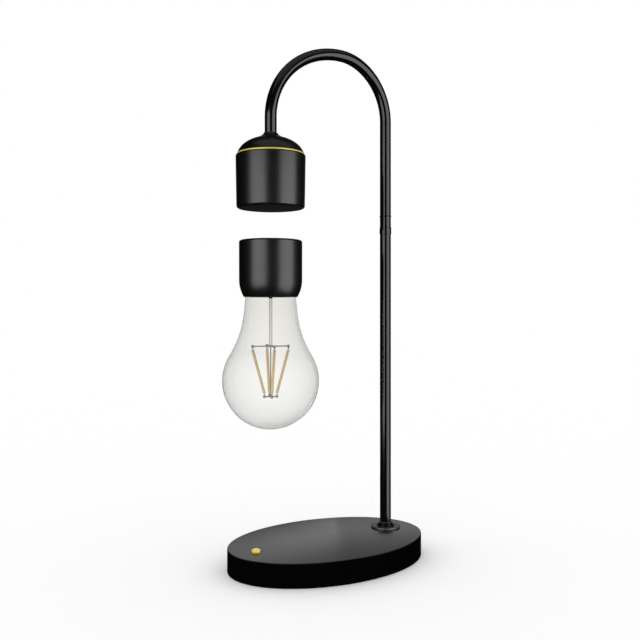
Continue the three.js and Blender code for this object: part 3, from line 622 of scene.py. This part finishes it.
def glass_of(name, middle, rim, neck):
    """Clear glass with painted shade: it greys where it is seen edge-on, and up the neck towards the cap."""
    material = bpy.data.materials.new(name)
    material.use_nodes = True
    tree = material.node_tree
    tree.nodes.clear()
    place = add_node(tree, "ShaderNodeTexCoord").outputs["Object"]
    height = add_node(tree, "ShaderNodeSeparateXYZ", {"Vector": place}).outputs["Z"]
    # Painted shade: the glass greys up the neck towards the black cap
    up_neck = add_node(
        tree, "ShaderNodeMapRange", {"Value": height, "From Min": NECK_SHADE_LOW, "From Max": NECK_SHADE_HIGH}
    )
    body = add_node(
        tree,
        "ShaderNodeMix",
        {"Factor": up_neck.outputs["Result"], "A": linear(middle), "B": linear(neck)},
        data_type="RGBA",
    )
    # Painted shade: the glass greys where its surface is seen edge-on
    edge_on = add_node(tree, "ShaderNodeLayerWeight").outputs["Facing"]
    tint = add_node(
        tree,
        "ShaderNodeMix",
        {"Factor": edge_on, "A": body.outputs["Result"], "B": linear(rim)},
        data_type="RGBA",
    )
    shader = add_node(
        tree,
        "ShaderNodeBsdfPrincipled",
        {
            "Base Color": tint.outputs["Result"],
            "Roughness": 0.0,
            "Transmission Weight": 1.0,
            "IOR": GLASS_IOR,
            "Specular Tint": linear(GLASS_GLOSS),
        },
    )
    add_node(tree, "ShaderNodeOutputMaterial", {"Surface": shader.outputs[0]})
    return material


# Blown soda-lime glass: clear, polished by fire, with painted shade that greys it where the eye looks along
# the wall and up its neck
clear_glass = glass_of("blown_soda_lime_glass", "#fbfbfa", "#dededc", "#f3f2ef")
# Lead glass of the pressed mount: the same, with darker painted shade at its edges
mount_glass = glass_of("pressed_lead_glass", "#f6f6f5", "#6e6c68", "#efedea")


def finished(mesh, finish, body, slot, *nodes):
    """Makes the mesh a piece of the lamp: its finish, the body it rides on and the nodes it stands for."""
    piece = bpy.data.objects.new(mesh.name, mesh)
    scene.collection.objects.link(piece)
    mesh.materials.clear()
    mesh.materials.append(finish)
    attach(piece, body)
    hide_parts(*nodes)
    return piece


# Base
def oval_rings(work, rings, sides):
    """Joins oval rings, each (half length, half width, height), and closes both ends to a point."""
    made = []
    for half_length, half_width, height in rings:
        made.append([
            work.verts.new((
                half_length * math.cos(FULL_TURN * side / sides),
                half_width * math.sin(FULL_TURN * side / sides),
                height,
            ))
            for side in range(sides)
        ])
    for lower, upper in zip(made, made[1:]):
        for side in range(sides):
            after = (side + 1) % sides
            work.faces.new([lower[side], lower[after], upper[after], upper[side]])
    for ring, (_, _, height) in ((made[0], rings[0]), (made[-1], rings[-1])):
        centre = work.verts.new((0.0, 0.0, height))
        for side in range(sides):
            work.faces.new([ring[side], ring[(side + 1) % sides], centre])
    bmesh.ops.recalc_face_normals(work, faces=work.faces)


def base_shell():
    floor, top = low("base_shell").z, BASE_TOP
    half_length, half_width = high("base_shell").x, high("base_shell").y

    def ring(depth, height):
        return half_length - depth, half_width - depth, height

    rings = [ring(BASE_EDGE + EDGE_SUPPORT, floor)]
    for proud, height in rounded_under(0, floor, BASE_EDGE) + rounded_over(0, top, BASE_EDGE):
        rings.append(ring(-proud, height))
    rings.append(ring(BASE_EDGE + EDGE_SUPPORT, top))
    work = bmesh.new()
    oval_rings(work, rings, 2 * ROUND_SIDES)
    shell = blank("housing_blank", work)

    cavity = bmesh.new()
    seat_depth = BASE_WALL - PLATE_SEAT_DEPTH
    seat_top = high("bottom_plate").z + FACE_GAP
    roof_under = high("tube_washer").z + FACE_GAP
    overrun = BASE_WALL
    oval_rings(cavity, [
        ring(seat_depth, floor - overrun),
        ring(seat_depth, seat_top),
        ring(BASE_WALL, seat_top),
        ring(BASE_WALL, roof_under),
    ], 2 * ROUND_SIDES)
    button_hole = BUTTON_RADIUS + ROUND_GAP
    opening = [
        (0.0, roof_under - overrun),
        (button_hole, roof_under - overrun),
        (button_hole, top - HOLE_CHAMFER),
        (button_hole + 2 * HOLE_CHAMFER, top + HOLE_CHAMFER),
        (0.0, top + HOLE_CHAMFER),
    ]
    tube_hole = TUBE_RADIUS + ROUND_GAP
    tube_opening = [
        (0.0, roof_under - overrun),
        (tube_hole, roof_under - overrun),
        (tube_hole, top + overrun),
        (0.0, top + overrun),
    ]
    jack_z = (low("dc_jack").z + high("dc_jack").z) / 2
    jack_opening = [
        (0.0, -2 * BASE_WALL),
        (JACK_HOLE_RADIUS, -2 * BASE_WALL),
        (JACK_HOLE_RADIUS, -HOLE_CHAMFER),
        (JACK_HOLE_RADIUS + 2 * HOLE_CHAMFER, HOLE_CHAMFER),
        (0.0, HOLE_CHAMFER),
    ]
    side_way = Matrix.Translation((half_length, 0, jack_z)) @ Matrix.Rotation(QUARTER_TURN, 4, "Y")
    mesh = carved("base_housing", shell, [
        (blank("cavity_tool", cavity), "DIFFERENCE"),
        (turned_tool("button_hole_tool", opening, Matrix.Translation((BUTTON_X, 0, 0))), "DIFFERENCE"),
        (turned_tool("tube_hole_tool", tube_opening, Matrix.Translation((TUBE_X, 0, 0))), "DIFFERENCE"),
        (turned_tool("jack_hole_tool", jack_opening, side_way), "DIFFERENCE"),
    ])
    finished(mesh, satin_lacquer, "stand", "black_housing", "base_shell")


def foot():
    bore = TUBE_RADIUS + ROUND_GAP
    low_z, top = low("foot_flange").z, high("foot_flange").z
    rim = outer_radius("foot_flange")
    flange = [(bore, low_z), (rim, low_z), *rounded_over(rim, top, FLANGE_EDGE)]
    flange += [(rim - FLANGE_EDGE - EDGE_SUPPORT, top), (bore, top)]
    finished(turned("foot_washer", flange, TUBE_X), black_nickel, "stand", "dark_nickel", "foot_flange")

    low_z, top = low("foot_collar").z, high("foot_collar").z
    rim = outer_radius("foot_collar")
    step_z = low_z + COLLAR_HEIGHT
    collar = [(bore, low_z), (rim, low_z), *rounded_over(rim, step_z, COLLAR_EDGE)]
    collar += [(COLLAR_STEP_RADIUS, step_z), *rounded_over(COLLAR_STEP_RADIUS, top, COLLAR_EDGE)]
    collar += [(bore, top)]
    finished(turned("foot_bush", collar, TUBE_X), satin_lacquer, "stand", "black_tube", "foot_collar")


def button():
    flange_low = low("power_button").z
    top = high("power_button").z
    foot_z = BASE_TOP + BUTTON_SIDE_HEIGHT
    outline = [
        (0.0, flange_low),
        (outer_radius("power_button"), flange_low),
        (outer_radius("power_button"), flange_low + BUTTON_FLANGE),
        (BUTTON_RADIUS, flange_low + BUTTON_FLANGE),
    ]
    for step in range(LONG_STEPS + 1):
        angle = QUARTER_TURN * step / LONG_STEPS
        radius = 0.0 if step == LONG_STEPS else BUTTON_RADIUS * math.cos(angle)
        outline.append((radius, foot_z + (top - foot_z) * math.sin(angle)))
    mesh = turned("button_cap", outline, BUTTON_X, TUBE_SIDES)
    # Its gold is a brighter copy of the ring's, painted light for the light from above
    finished(mesh, gold_lit_from_above, "button", "gold", "power_button")


def power_inlet():
    """The socket's housing inside the wall, its round nose in the wall's hole, and the centre pin."""
    low_corner, high_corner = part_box("dc_jack")
    jack_z = (low_corner.z + high_corner.z) / 2
    nose_end = high_corner.x
    nose_radius = JACK_HOLE_RADIUS - ROUND_GAP
    housing_end = high("base_shell").x - BASE_WALL - 2 * ROUND_GAP
    work = bmesh.new()
    bmesh.ops.create_cube(work, size=1.0)
    size = (housing_end - low_corner.x, high_corner.y - low_corner.y, high_corner.z - low_corner.z)
    middle = Vector(((housing_end + low_corner.x) / 2, 0, jack_z))
    place = Matrix.Translation(middle) @ Matrix.Diagonal((*size, 1))
    bmesh.ops.transform(work, matrix=place, verts=work.verts)

    bore_end = -JACK_BORE_DEPTH
    nose = [
        (0.0, bore_end - JACK_NOSE_EDGE),
        (nose_radius, bore_end - JACK_NOSE_EDGE),
        (nose_radius, -JACK_NOSE_EDGE),
        (nose_radius - JACK_NOSE_EDGE, 0.0),
        (0.0, 0.0),
    ]
    bore = [
        (0.0, bore_end),
        (JACK_BORE_RADIUS, bore_end),
        (JACK_BORE_RADIUS, -JACK_NOSE_EDGE),
        (JACK_BORE_RADIUS + 2 * JACK_NOSE_EDGE, JACK_NOSE_EDGE),
        (0.0, JACK_NOSE_EDGE),
    ]
    side_way = Matrix.Translation((nose_end, 0, jack_z)) @ Matrix.Rotation(QUARTER_TURN, 4, "Y")
    mesh = carved("inlet_socket", blank("inlet_blank", work), [
        (turned_tool("nose_tool", nose, side_way), "UNION"),
        (turned_tool("bore_tool", bore, side_way), "DIFFERENCE"),
    ])
    finished(mesh, black_nylon, "stand", "black_plastic", "dc_jack")

    pin = bmesh.new()
    tip = JACK_PIN_RADIUS / 2
    lathe(pin, [
        (0.0, bore_end + FACE_GAP),
        (JACK_PIN_RADIUS, bore_end + FACE_GAP),
        (JACK_PIN_RADIUS, -JACK_PIN_RECESS - tip),
        *rounded_over(JACK_PIN_RADIUS, -JACK_PIN_RECESS, tip),
        (0.0, -JACK_PIN_RECESS),
    ], SMALL_SIDES)
    bmesh.ops.transform(pin, matrix=side_way, verts=pin.verts)
    finished(closed_mesh("inlet_pin", pin), bright_nickel, "stand", "nickel", "jack_pin")


# Tubes
def tubes():
    bore = TUBE_RADIUS - TUBE_WALL
    tube_low, tube_top = low("lower_tube").z, high("lower_tube").z
    straight = [(bore, tube_low), (TUBE_RADIUS, tube_low), (TUBE_RADIUS, tube_top), (bore, tube_top)]
    mesh = turned("upright_tube", straight, TUBE_X, TUBE_SIDES)
    # Not seen in gloss, so that the base's top holds no mirror image of it
    finished(mesh, gloss_lacquer, "stand", "black_tube", "lower_tube").visible_glossy = False

    spigot = bore - ROUND_GAP
    inner = spigot - COUPLING_WALL
    band = outer_radius("tube_coupling")
    band_low = low("tube_coupling").z + COUPLING_SPIGOT
    band_top = high("tube_coupling").z - COUPLING_SPIGOT
    coupling = [(inner, low("tube_coupling").z), (spigot, low("tube_coupling").z), (spigot, band_low)]
    coupling += rounded_under(band, band_low, COUPLING_EDGE)
    coupling += rounded_over(band, band_top, COUPLING_EDGE)
    coupling += [(spigot, band_top), (spigot, high("tube_coupling").z), (inner, high("tube_coupling").z)]
    mesh = turned("coupling_band", coupling, TUBE_X, TUBE_SIDES)
    finished(mesh, gloss_lacquer, "stand", "black_tube", "tube_coupling")

    neck = grown("bent_tube", bpy.data.meshes.new("neck_start"), swan_neck_tree(), {
        "Tube X": TUBE_X,
        "Top Z": high("gooseneck").z - TUBE_RADIUS,
        "Tube reach": ARCH_TUBE_REACH,
        "Tube rise": ARCH_TUBE_RISE,
        "Head reach": TUBE_X - HEAD_X - ARCH_TUBE_REACH,
        "Head rise": ARCH_HEAD_RISE,
        "Tube end": band_top + FACE_GAP,
        "Head end": low("head_nut").z - THREAD_TAIL,
        "Radius": TUBE_RADIUS,
        "Steps": ARCH_STEPS,
        "Sides": TUBE_SIDES,
        "Paint": gloss_lacquer,
    })
    work = bmesh.new()
    work.from_mesh(neck)
    bead_z = band_top + BEAD_RISE
    inner = TUBE_RADIUS - TUBE_WALL / 2
    half = BEAD_HEIGHT / 2
    bead = [(inner, bead_z - half)]
    for step in range(2 * EDGE_STEPS + 1):
        angle = -QUARTER_TURN + math.pi * step / (2 * EDGE_STEPS)
        bead.append((TUBE_RADIUS + BEAD_PROUD * math.cos(angle), bead_z + half * math.sin(angle)))
    bead.append((inner, bead_z + half))
    lathe(work, bead, TUBE_SIDES, TUBE_X)
    finished(closed_mesh("swan_neck", work), gloss_lacquer, "stand", "black_tube", "gooseneck")


# Head
def head():
    shell_low, shell_top = low("head_shell").z, high("head_shell").z
    top_radius = outer_radius("head_shell")
    bottom_radius = top_radius - HEAD_TAPER
    bore = bottom_radius - HEAD_WALL
    edge = HEAD_WALL - HEAD_RIM_FLAT
    shell = [(bore, shell_low), *rounded_under(bottom_radius, shell_low, edge, 2 * EDGE_STEPS)]
    shell += [*rounded_over(top_radius, shell_top, HEAD_UPPER_EDGE), (bore, shell_top)]
    mesh = turned("head_sleeve", shell, HEAD_X)
    finished(mesh, black_anodised, "stand", "black_aluminium", "head_shell")

    face_low, face_top = low("head_face").z, high("head_face").z
    rim = outer_radius("head_face")
    face = [(0.0, face_low), (rim - FACE_EDGE, face_low), (rim, face_low + FACE_EDGE)]
    face += [(rim, face_top), (0.0, face_top)]
    finished(turned("head_disc", face, HEAD_X), black_nylon, "stand", "black_plastic", "head_face")

    spigot = bore - ROUND_GAP
    ring_low, ring_top = low("gold_ring").z, high("gold_ring").z
    rim = outer_radius("gold_ring")
    ring = [(spigot + ROUND_GAP, ring_low), *rounded_under(rim, ring_low, RING_EDGE)]
    ring += [*rounded_over(rim, ring_top, RING_EDGE), (spigot + ROUND_GAP, ring_top)]
    finished(turned("gold_trim_ring", ring, HEAD_X), gold_lacquer, "stand", "gold", "gold_ring")

    base_radius = top_radius - DOME_STEP
    half_width = base_radius / oval_height(DOME_RISE, 1.0, DOME_SINK)
    base_z = low("head_dome").z + DOME_SPIGOT
    centre_z = base_z - DOME_SINK
    flare_z = centre_z + oval_height(half_width, DOME_RISE, FLARE_START_RADIUS)
    lip_z = high("head_dome").z
    hole = TUBE_RADIUS + DOME_HOLE_CLEARANCE
    lip = hole + DOME_LIP_WALL
    in_share, up_share = FLARE_BEND_SHARES
    bend = (lip + in_share * (FLARE_START_RADIUS - lip), flare_z + up_share * (lip_z - flare_z))
    spigot_inner = spigot - DOME_SPIGOT_WALL
    dome = [(spigot_inner, base_z - DOME_SPIGOT), (spigot, base_z - DOME_SPIGOT), (spigot, base_z)]
    dome += oval_arc(centre_z, half_width, DOME_RISE, base_radius, FLARE_START_RADIUS, 2 * LONG_STEPS)
    dome += bezier([(FLARE_START_RADIUS, flare_z), bend, (lip, lip_z)], LONG_STEPS)[1:]
    dome += [(hole, lip_z)]
    dome += oval_arc(centre_z, half_width - DOME_WALL, DOME_RISE - DOME_WALL, hole, spigot_inner, LONG_STEPS)
    finished(turned("head_cover", dome, HEAD_X), black_anodised, "stand", "black_aluminium", "head_dome")


# Bulb
def bulb_cap():
    cap_low, cap_top = low("bulb_cap").z, high("bulb_cap").z
    radius = outer_radius("bulb_cap")
    hole = NECK_RADIUS + NECK_CLEARANCE
    taper_centre = radius - CAP_TAPER_SLACK - CAP_TAPER_RADIUS
    taper_height = leg_of(CAP_TAPER_RADIUS, hole + CAP_LIP_WALL - taper_centre)
    taper_z = cap_low + taper_height
    bore = radius - CAP_WALL
    taper_start = -math.asin(taper_height / CAP_TAPER_RADIUS)
    cap = [(0.0, cap_top - CAP_ROOF), (bore, cap_top - CAP_ROOF), (bore, taper_z)]
    cap += [(hole, cap_low + CAP_SKIRT), (hole, cap_low)]
    cap += arc(taper_centre, taper_z, CAP_TAPER_RADIUS, taper_start, 0, LONG_STEPS)
    cap += rounded_over(radius, cap_top, CAP_UPPER_EDGE, 2 * EDGE_STEPS)
    cap += [(radius - CAP_UPPER_EDGE - EDGE_SUPPORT, cap_top), (0.0, cap_top)]
    finished(turned("bulb_collar", cap, HEAD_X), black_abs, "bulb", "black_cap", "bulb_cap")


def glass_outline():
    cap_low = low("bulb_cap").z
    bottom = low("glass_envelope").z
    radius = outer_radius("glass_envelope")
    centre_z = bottom + radius
    shoulder = (radius * math.cos(SHOULDER_ANGLE), centre_z + radius * math.sin(SHOULDER_ANGLE))
    outline = arc(0, centre_z, radius, -QUARTER_TURN, SHOULDER_ANGLE, 3 * LONG_STEPS)
    outline[0] = (0.0, bottom)
    outline += bezier([
        shoulder,
        (
            shoulder[0] - SHOULDER_LOW_PULL * math.sin(SHOULDER_ANGLE),
            shoulder[1] + SHOULDER_LOW_PULL * math.cos(SHOULDER_ANGLE),
        ),
        (
            NECK_RADIUS + SHOULDER_HIGH_PULL * math.sin(NECK_LEAN),
            cap_low - SHOULDER_HIGH_PULL * math.cos(NECK_LEAN),
        ),
        (NECK_RADIUS, cap_low),
    ], 2 * LONG_STEPS)[1:]
    neck_top = high("glass_envelope").z
    outline.append((NECK_RADIUS - (neck_top - cap_low) * math.tan(NECK_LEAN), neck_top))
    return outline


def glass():
    outline = glass_outline()
    wall = outline + inset(outline, CLEAR_WALL)[::-1]
    mesh = turned("glass_bulb", wall, HEAD_X, GLASS_SIDES)
    finished(mesh, clear_glass, "bulb", "clear_glass", "glass_envelope")

    bottom, rim_z = low("glass_stem").z, high("glass_stem").z
    flare_top = rim_z - GLASS_WALL
    flare_low = flare_top - STEM_FLARE_HEIGHT
    rim = outer_radius("glass_stem")
    funnel_low = flare_low + STEM_FUNNEL_SHARE * STEM_FLARE_HEIGHT
    stem = [(STEM_BORE, bottom), (STEM_RADIUS, bottom)]
    stem += bezier([(STEM_RADIUS, flare_low), (STEM_RADIUS, flare_top), (rim, flare_top)], LONG_STEPS)
    stem += bezier([(rim, rim_z), (STEM_BORE, rim_z), (STEM_BORE, funnel_low)], LONG_STEPS)
    finished(turned("glass_mount", stem, HEAD_X), mount_glass, "bulb", "clear_glass", "glass_stem")


def support_cross(name, node, arms, reach, hub_radius, pin):
    """A hub with its arms. Each arm is a wire with a knob, and a pin towards its filament."""
    centre_z = low(node).z + (KNOB_RADIUS if pin > 0 else PIN_LENGTH)
    arm = bmesh.new()
    tip = Vector((reach, 0, 0))
    rod(arm, WIRE_RADIUS, Vector((0, 0, 0)), tip)
    ball(arm, KNOB_RADIUS, tip)
    rod(arm, WIRE_RADIUS, tip, tip + Vector((0, 0, pin)))
    sizes = {"Count": CROSS_ARMS, "Turn": CROSS_TURN, "Metal": sealed_wire}
    work = bmesh.new()
    work.from_mesh(grown("arms_in_place", plain_mesh("arm", arm), arms, sizes))
    half = HUB_HEIGHT / 2
    lathe(work, [(0.0, -half), (hub_radius, -half), (hub_radius, half), (0.0, half)], SMALL_SIDES)
    place = Matrix.Translation((HEAD_X, 0, centre_z))
    bmesh.ops.transform(work, matrix=place, verts=work.verts)
    finished(smooth_mesh(name, work), sealed_wire, "bulb", "nickel", node)
    return centre_z


def filament_mount():
    arms = arms_tree()
    top_z = support_cross("upper_wires", "top_cross", arms, TOP_REACH, TOP_HUB_RADIUS, -PIN_LENGTH)
    bottom_z = support_cross("lower_wires", "bottom_cross", arms, BOTTOM_REACH, BOTTOM_HUB_RADIUS, PIN_LENGTH)
    work = bmesh.new()
    rod(work, WIRE_RADIUS, Vector((HEAD_X, 0, low("stem_rod").z)), Vector((HEAD_X, 0, high("stem_rod").z)))
    finished(closed_mesh("centre_wire", work), sealed_wire, "bulb", "nickel", "stem_rod")
    for arm in range(CROSS_ARMS):
        angle = CROSS_TURN + FULL_TURN * arm / CROSS_ARMS
        out = Vector((math.cos(angle), math.sin(angle), 0))
        axis = Vector((HEAD_X, 0, 0))
        foot_end = axis + out * BOTTOM_REACH + Vector((0, 0, bottom_z + PIN_LENGTH + ROUND_GAP))
        head_end = axis + out * TOP_REACH + Vector((0, 0, top_z - PIN_LENGTH - ROUND_GAP))
        filament(arm + 1, foot_end, head_end)


def filament(number, start, end):
    """A coated stick whose skin swells a little over each small lamp inside it."""
    length = (end - start).length
    steps = STEPS_PER_DIE * DIE_COUNT
    outline = [(0.0, 0.0)]
    for step in range(steps + 1):
        share = step / steps
        swell = 1 - DIE_SWELL_SHARE * (0.5 + 0.5 * math.cos(FULL_TURN * DIE_COUNT * share))
        outline.append((FILAMENT_RADIUS * swell, length * share))
    outline.append((0.0, length))
    work = bmesh.new()
    lathe(work, outline, SMALL_SIDES)
    turn = Vector((0, 0, 1)).rotation_difference(end - start).to_matrix().to_4x4()
    bmesh.ops.transform(work, matrix=Matrix.Translation(start) @ turn, verts=work.verts)
    mesh = closed_mesh(f"filament_stick_{number}", work)
    finished(mesh, phosphor, "bulb", "filament_coating", f"filament_{number}")


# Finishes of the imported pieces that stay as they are
KEPT_FINISHES = {
    "bottom_plate": zinc_steel,
    "non_slip_pad": silicone,
    "insulating_sheet": amber_film,
    "main_board": solder_mask,
    "plate_screw_1": zinc_steel,
    "plate_screw_2": zinc_steel,
    "plate_screw_3": zinc_steel,
    "plate_screw_4": zinc_steel,
    "switch_plunger": black_nylon,
    "switch_body": black_nylon,
    "tube_washer": zinc_steel,
    "tube_nut": zinc_steel,
    "inner_cable": silicone,
    "head_nut": zinc_steel,
    "power_coil": enamelled_copper,
    "ferrite_disc": pressed_ferrite,
    "hall_sensor": black_nylon,
    "coil_bobbin": black_nylon,
    "control_coil": enamelled_copper,
    "magnet_core": zinc_steel,
    "bias_magnet": bright_nickel,
    "head_board": solder_mask,
    "disc_magnet": bright_nickel,
    "receiver_coil": enamelled_copper,
    "rectifier_board": solder_mask,
    "lead_wire_1": enamelled_copper,
    "lead_wire_2": enamelled_copper,
}


def kept_pieces():
    # Out of gloss, as the upright tube round it is
    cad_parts["inner_cable"].visible_glossy = False
    for node, finish in KEPT_FINISHES.items():
        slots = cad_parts[node].data.materials
        slots.clear()
        slots.append(finish)


base_shell()
foot()
button()
power_inlet()
tubes()
head()
bulb_cap()
glass()
filament_mount()
kept_pieces()

# Camera, level, at the photograph's viewing angle
CAMERA_PLACE = Vector((-320.3, -435.3, 161.55)) * MM
CAMERA_AIM = Vector((0.5854, 0.8108, 0.0))
SENSOR_WIDTH = 36.0
LENS = 46.70
SHIFT_UP = -0.0119
CLIP_START = 0.01


def camera():
    lens = bpy.data.cameras.new("camera")
    lens.sensor_width = SENSOR_WIDTH
    lens.lens = LENS
    lens.shift_y = SHIFT_UP
    lens.clip_start = CLIP_START
    holder = bpy.data.objects.new("camera", lens)
    holder.location = CAMERA_PLACE
    holder.rotation_mode = "QUATERNION"
    holder.rotation_quaternion = CAMERA_AIM.to_track_quat("-Z", "Y")
    scene.collection.objects.link(holder)
    scene.camera = holder


# Studio, in metres
CAMERA_RIGHT = Vector((CAMERA_AIM.y, -CAMERA_AIM.x, 0))
FLOOR_RADIUS = 6.0

# What gloss sees: the backdrop's middle, its outer and inner edge as cosines from there, and the levels
BACKDROP_UP = 0.22
BACKDROP_OUTER = 0.88
BACKDROP_INNER = 0.97
BACKDROP_WHITE = 0.19
SURROUND_BLACK = 0.006

# Softboxes round the bulb's axis: the turn to the right in degrees, low edge, height and width
SIDE_DISTANCE = 0.45
SIDE_RADIANCE = 2.85
SIDE_SOFTBOXES = (
    ("left_softbox", -38.7, 0.0, 0.44, 0.445),
    ("right_softbox", 62.5, -0.1, 0.53, 0.478),
)

# A large softbox overhead, for the dome and the top of the swan neck: right, back and up, then its size
OVERHEAD_PLACE = (0.25, -0.375, 1.26)
OVERHEAD_SIZE = (1.7, 1.35)
OVERHEAD_RADIANCE = 0.36
OVERHEAD_ROLL = -0.625

# Banks high round the base, turned by degrees, which light it alone, so that its top is grey from the
# other sides too
BANK_TURNS = {"front_bank": 0.0, "left_bank": -100.0, "right_bank": 100.0}
BANK_UP = 0.75
BANK_SIZE = (1.3, 0.6)
BANK_RADIANCE = 1.5

# Strips close behind the base, which its top mirrors: right, up, width, height, radiance and roll. A
# strip's distance behind the base's centre comes first
STRIP_BACK = 0.12
BACK_STRIPS = (
    ("left_back_strip", -0.055, 0.058, 0.135, 0.022, 0.9, 0.25),
    ("right_back_strip", 0.05, 0.0395, 0.085, 0.02, 0.6, 0.06),
)


def studio_place(right, back, up):
    """A place in metres from the base's centre, as the camera sees it."""
    return CAMERA_RIGHT * right + CAMERA_AIM * back + Vector((0, 0, up))


def turned_out(turn):
    """A level direction, turned from the camera's side towards the image's right by some degrees."""
    turn = math.radians(turn)
    return CAMERA_RIGHT * math.sin(turn) - CAMERA_AIM * math.cos(turn)


def softbox(name, place, facing, width, height, radiance, roll=0.0):
    """A lamp that is seen in gloss only."""
    data = bpy.data.lights.new(name, "AREA")
    data.shape = "RECTANGLE"
    data.size, data.size_y = width, height
    data.energy = radiance * math.pi * width * height
    lamp = bpy.data.objects.new(name, data)
    lamp.location = place
    lamp.rotation_mode = "QUATERNION"
    lamp.rotation_quaternion = facing.to_track_quat("-Z", "Y") @ Quaternion((0, 0, 1), roll)
    lamp.visible_camera = False
    lamp.visible_transmission = False
    lamp.visible_diffuse = False
    scene.collection.objects.link(lamp)
    return lamp


def screen(lamp, state, *piece_names):
    """Keeps pieces out of a lamp's light, as a black flag on a stand does, or lights them alone."""
    screened = bpy.data.collections.new(f"{lamp.name}_screen")
    for name in piece_names:
        screened.objects.link(bpy.data.objects[name])
    for row in screened.collection_objects:
        row.light_linking.link_state = state
    lamp.light_linking.receiver_collection = screened


def floor():
    work = bmesh.new()
    bmesh.ops.create_circle(work, cap_ends=True, segments=ROUND_SIDES, radius=FLOOR_RADIUS)
    mesh = plain_mesh("floor", work)
    material = bpy.data.materials.new("white_paper_floor")
    material.use_nodes = True
    tree = material.node_tree
    tree.nodes.clear()
    paper = add_node(tree, "ShaderNodeBsdfDiffuse", {"Color": linear("#ffffff")})
    add_node(tree, "ShaderNodeOutputMaterial", {"Surface": paper.outputs[0]})
    mesh.materials.append(material)
    ground = bpy.data.objects.new("floor", mesh)
    scene.collection.objects.link(ground)
    ground.visible_glossy = False
    ground.visible_shadow = False


def surroundings():
    """White to the eye and through the glass, even light for matt surfaces. Gloss sees black cloth all
    round and the lit backdrop behind the lamp."""
    world = bpy.data.worlds.new("studio")
    world.use_nodes = True
    world.cycles.sampling_method = "NONE"
    tree = world.node_tree
    tree.nodes.clear()
    path = add_node(tree, "ShaderNodeLightPath").outputs
    way = add_node(tree, "ShaderNodeTexCoord").outputs["Generated"]
    behind = (CAMERA_AIM + Vector((0, 0, BACKDROP_UP))).normalized()
    match = add_node(tree, "ShaderNodeVectorMath", {0: way, 1: behind}, operation="DOT_PRODUCT")
    backdrop = add_node(
        tree,
        "ShaderNodeMapRange",
        {
            "Value": match.outputs["Value"],
            "From Min": BACKDROP_OUTER,
            "From Max": BACKDROP_INNER,
            "To Min": SURROUND_BLACK,
            "To Max": BACKDROP_WHITE,
        },
        interpolation_type="SMOOTHSTEP",
    )
    level = add_node(
        tree,
        "ShaderNodeMapRange",
        {"Value": path["Is Glossy Ray"], "To Min": 1.0, "To Max": backdrop.outputs["Result"]},
    )
    through = add_node(
        tree,
        "ShaderNodeMapRange",
        {"Value": path["Is Transmission Ray"], "To Min": level.outputs["Result"], "To Max": 1.0},
    )
    white = add_node(
        tree, "ShaderNodeBackground", {"Color": linear("#ffffff"), "Strength": through.outputs["Result"]}
    )
    add_node(tree, "ShaderNodeOutputWorld", {"Surface": white.outputs[0]})
    scene.world = world


def lamps():
    for name, turn, low_edge, height, width in SIDE_SOFTBOXES:
        out = turned_out(turn)
        place = Vector((HEAD_X, 0, low_edge + height / 2)) + out * SIDE_DISTANCE
        lamp = softbox(name, place, -out, width, height, SIDE_RADIANCE)
        screen(lamp, "EXCLUDE", "base_housing", "glass_bulb")
    place = studio_place(*OVERHEAD_PLACE)
    overhead = softbox(
        "overhead", place, Vector((0, 0, -1)), *OVERHEAD_SIZE, OVERHEAD_RADIANCE, OVERHEAD_ROLL
    )
    screen(overhead, "EXCLUDE", "base_housing")
    for name, turn in BANK_TURNS.items():
        place = turned_out(turn) + Vector((0, 0, BANK_UP))
        screen(softbox(name, place, -place, *BANK_SIZE, BANK_RADIANCE), "INCLUDE", "base_housing")
    for name, right, up, width, height, radiance, roll in BACK_STRIPS:
        softbox(name, studio_place(right, STRIP_BACK, up), -CAMERA_AIM, width, height, radiance, roll)


camera()
floor()
surroundings()
lamps()
scene.view_settings.view_transform = "Standard"
